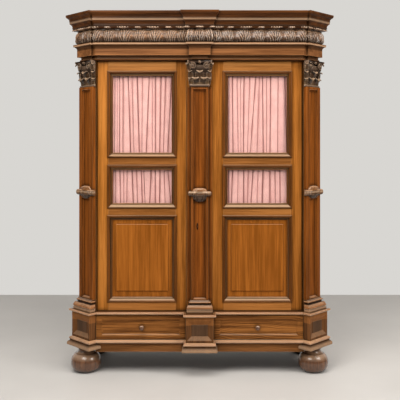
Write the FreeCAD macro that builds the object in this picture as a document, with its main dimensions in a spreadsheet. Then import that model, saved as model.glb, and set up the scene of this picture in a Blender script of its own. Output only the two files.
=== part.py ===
import FreeCAD, Part
import math
import os
import Sketcher
from types import SimpleNamespace
from FreeCAD import Placement, Rotation, Vector

# A kas: a two-door cupboard that stands on a base with two drawers and four turned feet.
# X runs to the right, Y to the back and Z up. The origin is the middle of the footprint,
# on the floor. Sizes are millimetres. Depths are measured back from the line through the
# front arrises of the two corner pedestals, and every piece is set forward by `datum`.

doc = FreeCAD.newDocument("Kas")
sheet = doc.addObject("Spreadsheet::Sheet", "Sizes")


class Size:
    """A length together with the sheet formula that gives it."""

    def __init__(self, value, text):
        self.value = value
        self.text = text

    def __add__(self, other):
        other = as_size(other)
        return Size(self.value + other.value, f"({self.text} + {other.text})")

    def __sub__(self, other):
        other = as_size(other)
        return Size(self.value - other.value, f"({self.text} - {other.text})")

    def __mul__(self, other):
        other = as_size(other)
        return Size(self.value * other.value, f"({self.text} * {other.text})")

    def __truediv__(self, other):
        other = as_size(other)
        return Size(self.value / other.value, f"({self.text} / {other.text})")

    def __neg__(self):
        return Size(-self.value, f"(0 - {self.text})")

    def __radd__(self, other):
        return as_size(other) + self

    def __rsub__(self, other):
        return as_size(other) - self

    def __rmul__(self, other):
        return as_size(other) * self


def as_size(thing):
    """A plain number becomes a size whose formula is the number."""
    if isinstance(thing, Size):
        return thing
    return Size(float(thing), repr(thing))


# The driving dimensions. Widths are measured from the middle, heights from the floor or from
# the part below, depths back from the line through the front arrises of the corner pedestals,
# and the overhangs of the upper mouldings from the flat face of the architrave.
DIMENSIONS = {
    # Boards and clearances
    "board": 18,  # thickness of the carcase boards
    "rail_thick": 22,  # thickness of the front rail and the drawer fronts
    "leaf_thick": 28,  # thickness of the door frames
    "slip": 0.3,  # clearance of a loose fit
    "gap": 2,  # gap round a door leaf
    "drawer_gap": 3,  # gap round a drawer front
    # Heights, from the floor up
    "foot_high": 156,  # height of a foot
    "base_high": 202,  # height of the base carcase below its top board
    "tier_high": 34,  # height of the stepped foot of a pedestal
    "tier_band": 18,  # height of the moulding round the base
    "apron_drop": 20,  # how far the front rail hangs below the base floor
    "cap_band": 14,  # height of the moulding round the base top
    "case_high": 1524,  # height of the case
    "bead_high": 13,  # height of the bead under the architrave
    "groove_high": 15,  # height of the groove over the bead
    "fascia_high": 43,  # height of the flat architrave face
    "bed_high": 21,  # height of the hollow over the architrave face
    "fillet_high": 13,  # height of the fillet under the frieze
    "frieze_high": 83,  # height of the carved frieze
    "egg_high": 16,  # height of the egg band under the cornice
    "cove_high": 30,  # height of the cornice hollow
    "drip_high": 13,  # height of the drip
    "crown_high": 42,  # height of the crown moulding
    # Depths, from the front line back
    "body_deep": 580,  # depth of the carcase behind the front line
    "apron_front": 32,  # depth of the face of the front rail
    "case_front": 58,  # depth of the front edge of the case sides
    "pedestal_front": 39,  # how far the middle pedestal stands forward
    "tier_reach": 23,  # how far the foot of a pedestal stands out
    "tier_neck": 10,  # how far the neck of that foot stands out
    "entab_front": 18,  # depth of the straight architrave face
    "centre_step": 20,  # how far the middle of the architrave breaks forward
    # Widths, from the middle
    "case_half": 732,  # half the width of the case
    "base_step": 26,  # how far a base side stands out from the case side
    "entab_step": 9,  # how far an architrave side stands out from the case side
    "cant_run": 102,  # run of the canted corner of the case
    "pedestal_half": 83,  # half the width of the middle pedestal
    "centre_half": 65,  # half the width of the middle break of the architrave
    "die_run": 128,  # run of the canted face of a corner pedestal
    "die_reach": 45,  # run by which that face stands out from the case corner
    "block_run": 101,  # run of the canted face of the architrave corner
    "block_reach": 28.5,  # run by which that face stands out
    "notch_land": 0.8,  # flat left beside the notch at the crown
    # Overhang of the mouldings from the architrave face
    "wall_in": 36,  # how far the back of the architrave lies inside its face
    "frieze_in": 18,  # how far the back of the frieze lies inside its face
    "cornice_in": 8,  # how far the back of the cornice lies inside
    "groove_in": 18,  # depth of the groove under the architrave face
    "bead_out": 6,  # swell of the bead out of that groove
    "bed_out": 14,  # overhang of the bed hollow
    "fillet_out": 17,  # overhang of the fillet
    "frieze_foot": 2,  # overhang at the foot of the frieze
    "frieze_swell": 8,  # swell of the lower part of the frieze
    "frieze_top": 12,  # overhang at the top of the frieze
    "egg_out": 18,  # overhang of the egg band
    "drip_out": 33,  # overhang of the drip
    "crown_out": 50,  # overhang of the crown
    # Base mouldings, panels, feet
    "tier_out": 14,  # overhang of the moulding round the base
    "cap_out": 15,  # overhang of the moulding round the base top
    "ped_panel_half": 74,  # half the width of a sunk panel of the base
    "ped_bevel": 25,  # width of the splay round that panel
    "ped_sink": 12,  # depth of that panel
    "ped_wing": 53,  # depth of a corner pedestal behind the rail face
    "ped_panel_low": 66,  # height of that panel over the base floor
    "ped_panel_high": 118,  # height of that panel
    "foot_inset": 59,  # distance of a foot's middle inside the base side
    "foot_front": 108,  # depth of the front feet
    "foot_rear": 110,  # distance of a rear foot's middle from the back
    "foot_tread": 62,  # radius of a foot at the floor
    "foot_bulge": 28,  # swell of the bun
    "bun_high": 111,  # height of the bun
    "foot_shoulder": 66,  # radius at the top of the bun
    "foot_neck": 46,  # radius of the neck
    "foot_collar": 58,  # radius of the collar
    "neck_high": 17,  # height of the neck over the bun
    "collar_high": 10,  # height of the collar
    # Drawers
    "drawer_margin": 32,  # flat margin of a drawer front at its sides
    "drawer_rim": 24,  # flat margin of a drawer front above and below
    "drawer_bevel": 9,  # width of the splay of a drawer front
    "drawer_sink": 5,  # depth of the panel of a drawer front
    "drawer_room": 42,  # room behind a drawer box
    "drawer_set": 2,  # how far a drawer front is set back
    "drawer_side": 12,  # thickness of the drawer boards
    "drawer_tall": 128,  # height of a drawer box
    "drawer_inset": 14,  # inset of the box at the middle end of the front
    "drawer_outset": 19,  # inset of the box at the outer end of the front
    "runner_wide": 34,  # width of a drawer runner
    "divider_thick": 20,  # thickness of the board between the drawers
    "knob_shift": 6.5,  # how far a knob stands inside the middle of its drawer front
    "knob_rise": 72,  # height of a knob over the foot of the drawer front
    "knob_radius": 15,  # radius of a drawer knob
    "knob_long": 27,  # length of a drawer knob
    "knob_stem": 8,  # radius of the knob's stem
    # Case
    "post_lap": 18,  # how far the corner post laps behind the door edge
    "door_back": 95,  # depth of the back of the doors
    "stop_gap": 4,  # room behind the doors, before the floor, top and stops
    "stop_deep": 25,  # depth of the stop that the corner post makes for a door
    "post_run": 42,  # run of the corner post through its thickness
    "shelf_front": 135,  # depth of the front edge of the shelves
    "shelf_thick": 20,  # thickness of the shelves
    "shelf_set": 17,  # height of a shelf over the foot of its cross rail
    "batten": 20,  # width and height of a shelf batten
    # Doors
    "door_lift": 2.5,  # gap under a door
    "door_drop": 3,  # gap over a door
    "pivot_in": 11,  # distance of the pivot from the door's edge and face
    "stile_wide": 71,  # width of the outer stile
    "meeting_x": 146,  # distance of the panels' inner edge from the middle
    "meeting_line": 82,  # where the doors meet, left of the middle
    "rail_foot": 55.5,  # width of the bottom rail
    "rail_low": 53,  # width of the lower cross rail
    "rail_up": 55,  # width of the upper cross rail
    "rail_top": 64,  # width of the top rail
    "panel_high": 519,  # height of the lower opening of a door
    "mid_high": 254,  # height of the middle opening of a door
    "bead_wide": 26,  # width of the moulding round a glass
    "trim_wide": 24,  # width of the moulding round the wood panel
    "trim_proud": 4,  # how far these mouldings stand out of the frame
    "trim_slope": 12,  # fall of a moulding towards its opening
    "trim_deep": 14,  # depth of a moulding behind the frame face
    "glass_thick": 3,  # thickness of the glass
    "panel_thick": 10,  # thickness of the wood panel at its edge
    "panel_rise": 8,  # height of the raised field of the panel
    "panel_margin": 24,  # splay beside the raised field
    "panel_margin_up": 40,  # splay above and below the raised field
    "pin_radius": 5,  # radius of the hinge pins
    "pin_long": 9,  # length of a hinge pin in its socket
    "rod_radius": 4,  # radius of a curtain rod
    "rod_back": 8,  # distance of a curtain rod behind the door
    "curtain_thick": 12,  # thickness of a gathered curtain
    "curtain_lap": 8,  # how far a curtain laps over the frame at its sides
    "curtain_hem": 14,  # how far a curtain laps over the frame above
    # Locks
    "bolt_high": 30,  # height of the lock bolt
    "bolt_thick": 10,  # thickness of the lock bolt
    "bolt_long": 36,  # length of the lock bolt
    "bolt_throw": 10,  # travel of the lock bolt
    "lock_rise": 489,  # height of the lock over the case foot
    "flush_radius": 4,  # radius of the bolt of the left door
    "flush_long": 96,  # length of that bolt
    "flush_room": 4,  # room over the bolt of the left door when it is drawn
    "flush_x": 115,  # distance of that bolt from the middle
    "flush_back": 12,  # distance of that bolt behind the door
    "keeper": 10,  # height of a bolt keeper
    # Pilasters and capitals: half widths, and reach in front of what carries them
    "plinth_half": 90,  # half the width of a corner plinth block
    "plinth_reach": 58,  # reach of a corner plinth block
    "plinth_high": 49,  # height of the plinth blocks
    "torus_high": 50,  # height of the base moulding over a plinth block
    "torus_half": 84,  # half the width of that moulding at its foot
    "torus_reach": 50,  # reach of that moulding at its foot
    "shaft_half": 71.5,  # half the width of a corner shaft
    "shaft_reach": 25,  # reach of a corner shaft
    "shaft_panel": 42,  # half the width of the sunk panels of a corner shaft
    "shaft_bevel": 8,  # width of the splay of those panels
    "shaft_sink": 7,  # depth of those panels
    "capital_high": 159,  # height of the capitals
    "ring_low": 663,  # height of the foot of the ring over the case foot
    "ring_cup": 48,  # height of the cup under the ring's bar
    "ring_bar": 18,  # height of the ring's bar
    "ring_dome": 25,  # height of the dome over the ring's bar
    "ring_half": 84,  # half the width of a corner ring
    "ring_reach": 42,  # reach of a corner ring
    "abacus_high": 26,  # height of the abacus
    "abacus_half": 84,  # half the width of a corner abacus
    "abacus_reach": 47,  # reach of a corner abacus
    "mid_plinth": 79,  # half the width of the middle plinth block
    "mid_plinth_out": 60,  # reach of the middle plinth block
    "mid_shaft": 52,  # half the width of the middle shaft
    "mid_shaft_out": 30,  # reach of the middle shaft
    "mid_panel": 40,  # half the width of the sunk panels of the middle shaft
    "mid_ring": 71,  # half the width of the middle ring
    "mid_ring_out": 48,  # reach of the middle ring
    "mid_abacus": 74,  # half the width of the middle abacus
    "mid_abacus_out": 70,  # reach of the middle abacus
}

for row, (alias, value) in enumerate(DIMENSIONS.items(), start=1):
    sheet.set(f"A{row}", alias)
    sheet.set(f"B{row}", str(value))
    sheet.setAlias(f"B{row}", alias)
doc.recompute()

dim = SimpleNamespace(
    **{alias: Size(float(value), f"Sizes.{alias}") for alias, value in DIMENSIONS.items()}
)

# Levels and lines that follow from the sizes above
ROOT_HALF = Size(math.sqrt(0.5), "sqrt(0.5)")
ROOT_TWO = Size(math.sqrt(2), "sqrt(2)")
MITRE = Size(math.sqrt(2) - 1, "(sqrt(2) - 1)")
HALF = 0.5

base_half = dim.case_half + dim.base_step
entab_half = dim.case_half + dim.entab_step
foot_x = base_half - dim.foot_inset
datum = (dim.body_deep - dim.pedestal_front - dim.tier_reach) * HALF
base_top_z = dim.foot_high + dim.base_high
case_z = base_top_z + dim.board
floor_z = case_z + dim.board
case_top_z = case_z + dim.case_high
tier_top = dim.foot_high + dim.tier_high + dim.tier_band
apron_back = dim.apron_front + dim.rail_thick
stop_face = dim.door_back + dim.stop_gap
corner_x = dim.case_half - dim.cant_run
cant_x = dim.case_half - dim.cant_run * HALF
cant_y = dim.case_front + dim.cant_run * HALF
cant_half = dim.cant_run * ROOT_HALF
post_x = corner_x - dim.post_lap
stop_back = stop_face + dim.stop_deep
cant_back = dim.case_front + dim.cant_run
door_face = dim.door_back - dim.leaf_thick
door_edge = corner_x - dim.gap
pivot_x = door_edge - dim.pivot_in
pivot_y = door_face + dim.pivot_in
door_z = case_z + dim.door_lift
door_top = case_top_z - dim.door_drop


class Bow:
    """A corner reached along an arc that swells to the right of the way to it."""

    def __init__(self, x, y, swell):
        self.x = x
        self.y = y
        self.swell = swell


def bind(thing, prop, size):
    """Tie a property to a formula of the sheet."""
    thing.setExpression(prop, as_size(size).text)


def place(thing, x, y, z, turn=0):
    """Set a piece down, with its position tied to the sheet; `turn` is about Z."""
    spot = [as_size(x), as_size(y) - datum, as_size(z)]
    thing.Placement = Placement(
        Vector(*[size.value for size in spot]), Rotation(Vector(0, 0, 1), turn)
    )
    for axis, size in zip("xyz", spot):
        bind(thing, f"Placement.Base.{axis}", size)


def new_body(label, x=0, y=0, z=0, turn=0):
    """An empty body with its own label and place."""
    body = doc.addObject("PartDesign::Body", label)
    body.Label = label
    place(body, x, y, z, turn)
    return body


def canted_body(label, side):
    """A body whose front faces out of a canted corner: side 1 is right, -1 left."""
    quarter = 90
    return new_body(label, side * cant_x, cant_y, 0, side * quarter / 2)


def own_plane(body, role):
    """One of the body's own origin planes."""
    for feature in body.Origin.OriginFeatures:
        if feature.Role == role:
            return feature
    raise ValueError(role)


def edge_between(start, end):
    """The straight or bowed edge from one corner to the next."""
    ax, ay = start
    bx, by = as_size(end.x).value, as_size(end.y).value
    a = Vector(ax, ay, 0)
    b = Vector(bx, by, 0)
    swell = as_size(end.swell).value
    if swell == 0:
        return Part.LineSegment(a, b)
    along = (b - a).normalize()
    middle = (a + b) * HALF + Vector(along.y, -along.x, 0) * swell
    return Part.Arc(a, middle, b)


def draw(body, name, role, level, corners, closed=True):
    """An outline on one of the body's planes, each corner tied to the sheet."""
    sketch = body.newObject("Sketcher::SketchObject", name)
    sketch.AttachmentSupport = (own_plane(body, role), [""])
    sketch.MapMode = "FlatFace"
    level = as_size(level)
    bind(sketch, "AttachmentOffset.Base.z", -level if role == "XZ_Plane" else level)
    stops = [one if isinstance(one, Bow) else Bow(one[0], one[1], 0) for one in corners]
    count = len(stops)
    spots = [(as_size(stop.x).value, as_size(stop.y).value) for stop in stops]
    pairs = [(i, (i + 1) % count) for i in range(count if closed else count - 1)]
    sketch.addGeometry([edge_between(spots[i], stops[j]) for i, j in pairs])
    starts, ends = {}, {}
    for index, (i, j) in enumerate(pairs):
        first = sketch.getPoint(index, 1)
        forward = first.distanceToPoint(Vector(spots[i][0], spots[i][1], 0)) < 1e-6
        starts[i] = (index, 1 if forward else 2)
        ends[j] = (index, 2 if forward else 1)
    rules, formulas = [], {}
    for corner in range(count):
        spot = starts.get(corner, ends.get(corner))
        if corner in starts and corner in ends:
            rules.append(Sketcher.Constraint("Coincident", *ends[corner], *starts[corner]))
        across = as_size(stops[corner].x)
        along = as_size(stops[corner].y)
        for kind, axis, size in (("DistanceX", -2, across), ("DistanceY", -1, along)):
            if size.text in ("0", "0.0"):
                rules.append(Sketcher.Constraint("PointOnObject", *spot, axis))
                continue
            formulas[len(rules)] = (f"{kind}{corner}", size.text)
            rules.append(Sketcher.Constraint(kind, -1, 1, *spot, size.value))
    for index, (i, j) in enumerate(pairs):
        swell = as_size(stops[j].swell)
        if swell.value == 0:
            continue
        run = as_size(stops[j].x) - as_size(stops[i].x)
        rise = as_size(stops[j].y) - as_size(stops[i].y)
        radius = ((run * run + rise * rise) / 4 + swell * swell) / (swell * 2)
        if radius.value < 0:
            radius = -radius
        formulas[len(rules)] = (f"Radius{j}", radius.text)
        rules.append(Sketcher.Constraint("Radius", index, radius.value))
    sketch.addConstraint(rules)
    for index, (name_of, text) in formulas.items():
        sketch.renameConstraint(index, name_of)
        sketch.setExpression(f"Constraints.{name_of}", text)
    return sketch


def pad(body, name, sketch, length, backwards=False):
    """Push an outline out along its plane's normal."""
    feature = body.newObject("PartDesign::Pad", name)
    feature.Profile = sketch
    bind(feature, "Length", length)
    feature.Reversed = backwards
    return feature


def loft(body, name, sections, kind="Additive"):
    """Join outlines by straight faces; kind Subtractive cuts the same shape away."""
    feature = body.newObject(f"PartDesign::{kind}Loft", name)
    feature.Profile = sections[0]
    feature.Sections = sections[1:]
    feature.Ruled = True
    return feature


def turn(body, name, corners, role="XZ_Plane"):
    """Turn a half outline about the vertical line of its sketch."""
    sketch = draw(body, f"{name}_outline", role, 0, corners)
    feature = body.newObject("PartDesign::Revolution", name)
    feature.Profile = sketch
    feature.ReferenceAxis = (sketch, ["V_Axis"])
    feature.Angle = 360
    return feature


def run_moulding(body, name, path, side, profile):
    """Sweep a moulding along a path from the left back corner round to the right.

    The profile lists overhang and height; side is where overhang is nought."""
    line = draw(body, f"{name}_path", "XY_Plane", profile[0][1], path, closed=False)
    section = []
    for one in profile:
        if isinstance(one, Bow):
            section.append(Bow(-side - one.x, one.y, -as_size(one.swell)))
        else:
            section.append((-side - one[0], one[1]))
    outline = draw(body, f"{name}_profile", "XZ_Plane", dim.body_deep, section)
    feature = body.newObject("PartDesign::AdditivePipe", name)
    feature.Profile = outline
    feature.Spine = line
    feature.Transition = "Right corner"
    return feature


def mirrored(corners):
    """The same corners on the other side of the middle."""
    flipped = []
    for one in corners:
        if isinstance(one, Bow):
            flipped.append(Bow(-as_size(one.x), one.y, -as_size(one.swell)))
        else:
            flipped.append((-as_size(one[0]), one[1]))
    return flipped


def both_sides(right_half):
    """A symmetrical line from the left back corner to the right back corner."""
    return mirrored(reversed(right_half)) + right_half


def on_side(side, corners):
    """Corners written for the right, moved to the given side."""
    return corners if side > 0 else mirrored(corners)


def rectangle(low_x, high_x, low_y, high_y):
    """The four corners of an upright rectangle."""
    return [(low_x, low_y), (high_x, low_y), (high_x, high_y), (low_x, high_y)]


def box(label, x, y, z):
    """A square-edged dim.board between the given pairs of coordinates."""
    block = doc.addObject("Part::Box", label)
    block.Label = label
    for prop, (low, high) in zip(("Length", "Width", "Height"), (x, y, z)):
        bind(block, prop, as_size(high) - as_size(low))
    place(block, x[0], y[0], z[0])
    return block


def side_box(label, side, x, y, z):
    """A dim.board written for the right, moved to the given side."""
    if side < 0:
        x = (-as_size(x[1]), -as_size(x[0]))
    return box(label, x, y, z)


def upright(label, x, y, low, high, radius):
    """An upright cylinder."""
    rod = doc.addObject("Part::Cylinder", label)
    rod.Label = label
    bind(rod, "Radius", radius)
    bind(rod, "Height", as_size(high) - as_size(low))
    place(rod, x, y, low)
    return rod


def gather(label, pieces):
    """Several separate solids that make one sub-part."""
    group = doc.addObject("Part::Compound", label)
    group.Label = label
    group.Links = pieces
    return group


def cut(label, whole, away):
    """One solid less another."""
    result = doc.addObject("Part::Cut", label)
    result.Label = label
    result.Base = whole
    result.Tool = away
    return result


def slab(label, corners, low, thick):
    """A dim.board of any outline, lying flat."""
    body = new_body(label)
    outline = draw(body, f"{label}_outline", "XY_Plane", low, corners)
    pad(body, f"{label}_pad", outline, thick)
    return body


def sink(body, name, face, depth, outer, bevel):
    """Sink a panel with splayed edges into a face that looks to the front."""
    low_x, high_x, low_z, high_z = outer
    wide = draw(body, f"{name}_rim", "XZ_Plane", face, rectangle(*outer))
    inner = rectangle(low_x + bevel, high_x - bevel, low_z + bevel, high_z - bevel)
    narrow = draw(body, f"{name}_floor", "XZ_Plane", face + depth, inner)
    return loft(body, f"{name}_sink", [wide, narrow], "Subtractive")


def drill(body, name, x, y, level, radius, depth):
    """A round socket from a level downwards."""
    sketch = body.newObject("Sketcher::SketchObject", f"{name}_mark")
    sketch.AttachmentSupport = (own_plane(body, "XY_Plane"), [""])
    sketch.MapMode = "FlatFace"
    bind(sketch, "AttachmentOffset.Base.z", level)
    x, y, radius = as_size(x), as_size(y), as_size(radius)
    circle = Part.Circle(Vector(x.value, y.value, 0), Vector(0, 0, 1), radius.value)
    sketch.addGeometry(circle)
    sizes = {"DistanceX": x, "DistanceY": y, "Radius": radius}
    rules = [
        Sketcher.Constraint("DistanceX", -1, 1, 0, 3, x.value),
        Sketcher.Constraint("DistanceY", -1, 1, 0, 3, y.value),
        Sketcher.Constraint("Radius", 0, radius.value),
    ]
    sketch.addConstraint(rules)
    for index, (name_of, size) in enumerate(sizes.items()):
        sketch.renameConstraint(index, name_of)
        sketch.setExpression(f"Constraints.{name_of}", size.text)
    feature = body.newObject("PartDesign::Pocket", name)
    feature.Profile = sketch
    bind(feature, "Length", depth)
    return feature


nodes = []


def keep(piece):
    """Enter a finished sub-part in the list of what is written out."""
    nodes.append(piece)
    return piece


# Outlines of the base and of the upper mouldings, for any overhang. Each right half runs
# from the middle break, round the canted corner block, to the back.

def base_outline(out):
    """Right half of the base outline, moved out by an overhang."""
    near_x = cant_x - dim.die_run * HALF + dim.die_reach
    near_y = cant_y - dim.die_run * HALF - dim.die_reach
    far_x = cant_x + dim.die_run * HALF + dim.die_reach
    far_y = cant_y + dim.die_run * HALF - dim.die_reach
    return [
        (dim.pedestal_half + out, -dim.pedestal_front - out),
        (dim.pedestal_half + out, dim.apron_front - out),
        (near_x - (dim.apron_front - near_y) - MITRE * out, dim.apron_front - out),
        (near_x, near_y - ROOT_TWO * out),
        (far_x + ROOT_TWO * out, far_y),
        (base_half + out, far_y + (far_x - base_half) + MITRE * out),
        (base_half + out, dim.body_deep),
    ]


def entab_outline(out):
    """Right half of the architrave face, moved out by an overhang."""
    near_x = cant_x - dim.block_run * HALF + dim.block_reach
    near_y = cant_y - dim.block_run * HALF - dim.block_reach
    far_x = cant_x + dim.block_run * HALF + dim.block_reach
    far_y = cant_y + dim.block_run * HALF - dim.block_reach
    flank = MITRE * dim.crown_out + dim.notch_land
    notch_y = dim.entab_front + flank
    notch_x = near_x - (notch_y - near_y)
    return [
        (dim.centre_half + out, dim.entab_front - dim.centre_step - out),
        (dim.centre_half + out, dim.entab_front - out),
        (notch_x - flank + MITRE * out, dim.entab_front - out),
        (notch_x, notch_y - ROOT_TWO * out),
        (near_x, near_y - ROOT_TWO * out),
        (far_x + ROOT_TWO * out, far_y),
        (entab_half + out, far_y + (far_x - entab_half) + MITRE * out),
        (entab_half + out, dim.body_deep),
    ]


# Feet

foot_outline = [
    (0, 0),
    (dim.foot_tread, 0),
    Bow(dim.foot_shoulder, dim.bun_high, dim.foot_bulge),
    Bow(dim.foot_neck, dim.bun_high + dim.neck_high, -dim.neck_high / 5),
    Bow(dim.foot_collar, dim.foot_high - dim.collar_high, -dim.neck_high / 6),
    Bow(dim.foot_collar, dim.foot_high, dim.collar_high / 4),
    (0, dim.foot_high),
]
for end, depth in (("front", dim.foot_front), ("rear", dim.body_deep - dim.foot_rear)):
    for name, side in (("left", -1), ("right", 1)):
        foot = keep(new_body(f"foot_{end}_{name}", side * foot_x, depth, 0))
        turn(foot, f"foot_{end}_{name}_turning", foot_outline)

# Base carcase

rail_end, rail_face = base_outline(as_size(0))[2]
side_x, side_y = base_outline(as_size(0))[5]
near_y = base_outline(as_size(0))[3][1]
far_x = base_outline(as_size(0))[4][0]
die_half = dim.die_run * ROOT_HALF
die_front = -dim.die_reach * ROOT_TWO
die_near = die_front + (rail_face - near_y) * ROOT_TWO
die_far = die_front + (far_x - side_x) * ROOT_TWO
wing = dim.ped_wing * ROOT_HALF
base_inner = base_half - dim.board
back_face = dim.body_deep - dim.board

base_floor_half = [
    (rail_end, apron_back),
    (rail_end, rail_face + dim.ped_wing),
    (side_x - dim.ped_wing, side_y),
    (base_inner, side_y),
    (base_inner, back_face),
]
keep(slab("base_bottom", both_sides(base_floor_half), dim.foot_high, dim.board))
for name, side in (("left", -1), ("right", 1)):
    label = f"base_{name}_side"
    span = (base_inner, base_half)
    keep(side_box(label, side, span, (side_y, dim.body_deep), (dim.foot_high, base_top_z)))
back_x = (-base_inner, base_inner)
keep(box("base_back", back_x, (back_face, dim.body_deep), (dim.foot_high, base_top_z)))
rail_z = (dim.foot_high - dim.apron_drop, tier_top)
keep(box("apron", (-rail_end, rail_end), (dim.apron_front, apron_back), rail_z))


def pedestal_steps():
    """Height over the base floor and overhang of each step of a pedestal's foot."""
    return [
        (dim.tier_high * 0, dim.tier_reach),
        (dim.tier_high * 0.24, dim.tier_reach),
        (dim.tier_high * 0.5, dim.tier_reach * 0.9),
        (dim.tier_high * 0.66, dim.tier_reach * 0.64),
        (dim.tier_high * 0.74, dim.tier_neck),
        (dim.tier_high, dim.tier_neck),
    ]


def corner_foot_outline(out):
    """Plan of the foot of a corner pedestal, which dies into the rail and the side."""
    return [
        (-die_half - out, die_front - out),
        (die_half + out, die_front - out),
        (die_half + out, die_far + out),
        (die_half, die_far),
        (die_half - wing, die_far + wing),
        (-die_half + wing, die_near + wing),
        (-die_half, die_near),
        (-die_half - out, die_near + out),
    ]


corner_die = [
    (-die_half, die_front),
    (die_half, die_front),
    (die_half, die_far),
    (die_half - wing, die_far + wing),
    (-die_half + wing, die_near + wing),
    (-die_half, die_near),
]
panel_foot = dim.foot_high + dim.ped_panel_low
panel_z = (panel_foot, panel_foot + dim.ped_panel_high)
corner_panel_half = dim.ped_panel_half + (die_half - dim.pedestal_half)
for name, side in (("left", -1), ("right", 1)):
    label = f"{name}_pedestal"
    pedestal = keep(canted_body(label, side))
    steps = []
    for count, (rise, out) in enumerate(pedestal_steps()):
        plan = on_side(side, corner_foot_outline(out))
        step_name = f"{label}_step_{count}"
        steps.append(draw(pedestal, step_name, "XY_Plane", dim.foot_high + rise, plan))
    loft(pedestal, f"{label}_foot", steps)
    corners = on_side(side, corner_die)
    plan = draw(pedestal, f"{label}_plan", "XY_Plane", dim.foot_high + dim.tier_high, corners)
    pad(pedestal, f"{label}_die", plan, dim.base_high - dim.tier_high)
    rim = (-corner_panel_half, corner_panel_half, *panel_z)
    sink(pedestal, label, die_front, dim.ped_sink, rim, dim.ped_bevel)

pedestal = keep(new_body("centre_pedestal"))
steps = []
for count, (rise, out) in enumerate(pedestal_steps()):
    half = dim.pedestal_half + out
    plan = rectangle(-half, half, -dim.pedestal_front - out, dim.apron_front)
    name = f"centre_pedestal_step_{count}"
    steps.append(draw(pedestal, name, "XY_Plane", dim.foot_high + rise, plan))
loft(pedestal, "centre_pedestal_foot", steps)
plan = rectangle(-dim.pedestal_half, dim.pedestal_half, -dim.pedestal_front, dim.apron_front)
outline = draw(pedestal, "centre_pedestal_plan", "XY_Plane", dim.foot_high + dim.tier_high, plan)
pad(pedestal, "centre_pedestal_die", outline, dim.base_high - dim.tier_high)
plan = rectangle(-dim.pedestal_half, dim.pedestal_half, as_size(0), apron_back)
outline = draw(pedestal, "centre_pedestal_tongue", "XY_Plane", tier_top, plan)
pad(pedestal, "centre_pedestal_back", outline, base_top_z - tier_top)
rim = (-dim.ped_panel_half, dim.ped_panel_half, *panel_z)
sink(pedestal, "centre_pedestal", -dim.pedestal_front, dim.ped_sink, rim, dim.ped_bevel)

base_top = keep(slab("base_top", both_sides(base_outline(as_size(0))), base_top_z, dim.board))
socket_deep = dim.pin_long + dim.gap
for name, side in (("left", -1), ("right", 1)):
    spot = (side * pivot_x, pivot_y, case_z)
    drill(base_top, f"base_top_{name}_socket", *spot, dim.pin_radius + dim.slip, socket_deep)

base_path = both_sides(base_outline(as_size(0)))
tier_low = tier_top - dim.tier_band
nose = dim.tier_out * 0.7
tier_profile = [
    (as_size(0), tier_low),
    (nose, tier_low),
    Bow(nose, tier_low + dim.tier_band * 0.7, dim.tier_out - nose),
    (as_size(0), tier_top),
]
moulding = keep(new_body("base_tier_moulding"))
run_moulding(moulding, "base_tier_moulding_run", base_path, base_half, tier_profile)
cap_low = case_z - dim.cap_band
nose = dim.cap_out * 0.7
cap_profile = [
    (as_size(0), cap_low),
    (nose * 0.6, cap_low),
    (nose, cap_low + dim.cap_band * 0.15),
    Bow(nose, case_z, dim.cap_out - nose),
    (as_size(0), case_z),
]
moulding = keep(new_body("base_cap_moulding"))
run_moulding(moulding, "base_cap_moulding_run", base_path, base_half, cap_profile)

# Drawers and what carries them

front_y = (dim.apron_front + dim.drawer_set, dim.apron_front + dim.drawer_set + dim.rail_thick)
front_x = (dim.pedestal_half + dim.drawer_gap, rail_end - dim.drawer_gap)
front_z = (tier_top + dim.drawer_gap, base_top_z - dim.drawer_gap)
tray_x = (front_x[0] + dim.drawer_inset, front_x[1] - dim.drawer_outset)
tray_y = (front_y[1], back_face - dim.drawer_room)
runner_low = dim.foot_high + dim.board
runner_top = tier_top + dim.drawer_gap + dim.gap * HALF
tray_z = (runner_top + dim.slip, runner_top + dim.slip + dim.drawer_tall)
knob_x = (front_x[0] + front_x[1]) / 2 - dim.knob_shift
floor_thick = dim.drawer_side * 0.7

runner_y = (front_y[1] + dim.gap, back_face)
divider_x = (-dim.divider_thick / 2, dim.divider_thick / 2)
runners = [box("divider", divider_x, runner_y, (runner_low, base_top_z))]
for name, side in (("left", -1), ("right", 1)):
    inner_foot = dim.pedestal_half + dim.gap * HALF
    outer_foot = rail_end - dim.gap * 2
    inner = (inner_foot, inner_foot + dim.runner_wide)
    outer = (outer_foot - dim.runner_wide, outer_foot)
    for place_name, span in (("inner", inner), ("outer", outer)):
        label = f"{name}_{place_name}_runner"
        runners.append(side_box(label, side, span, runner_y, (runner_low, runner_top)))
keep(gather("drawer_runners", runners))

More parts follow.
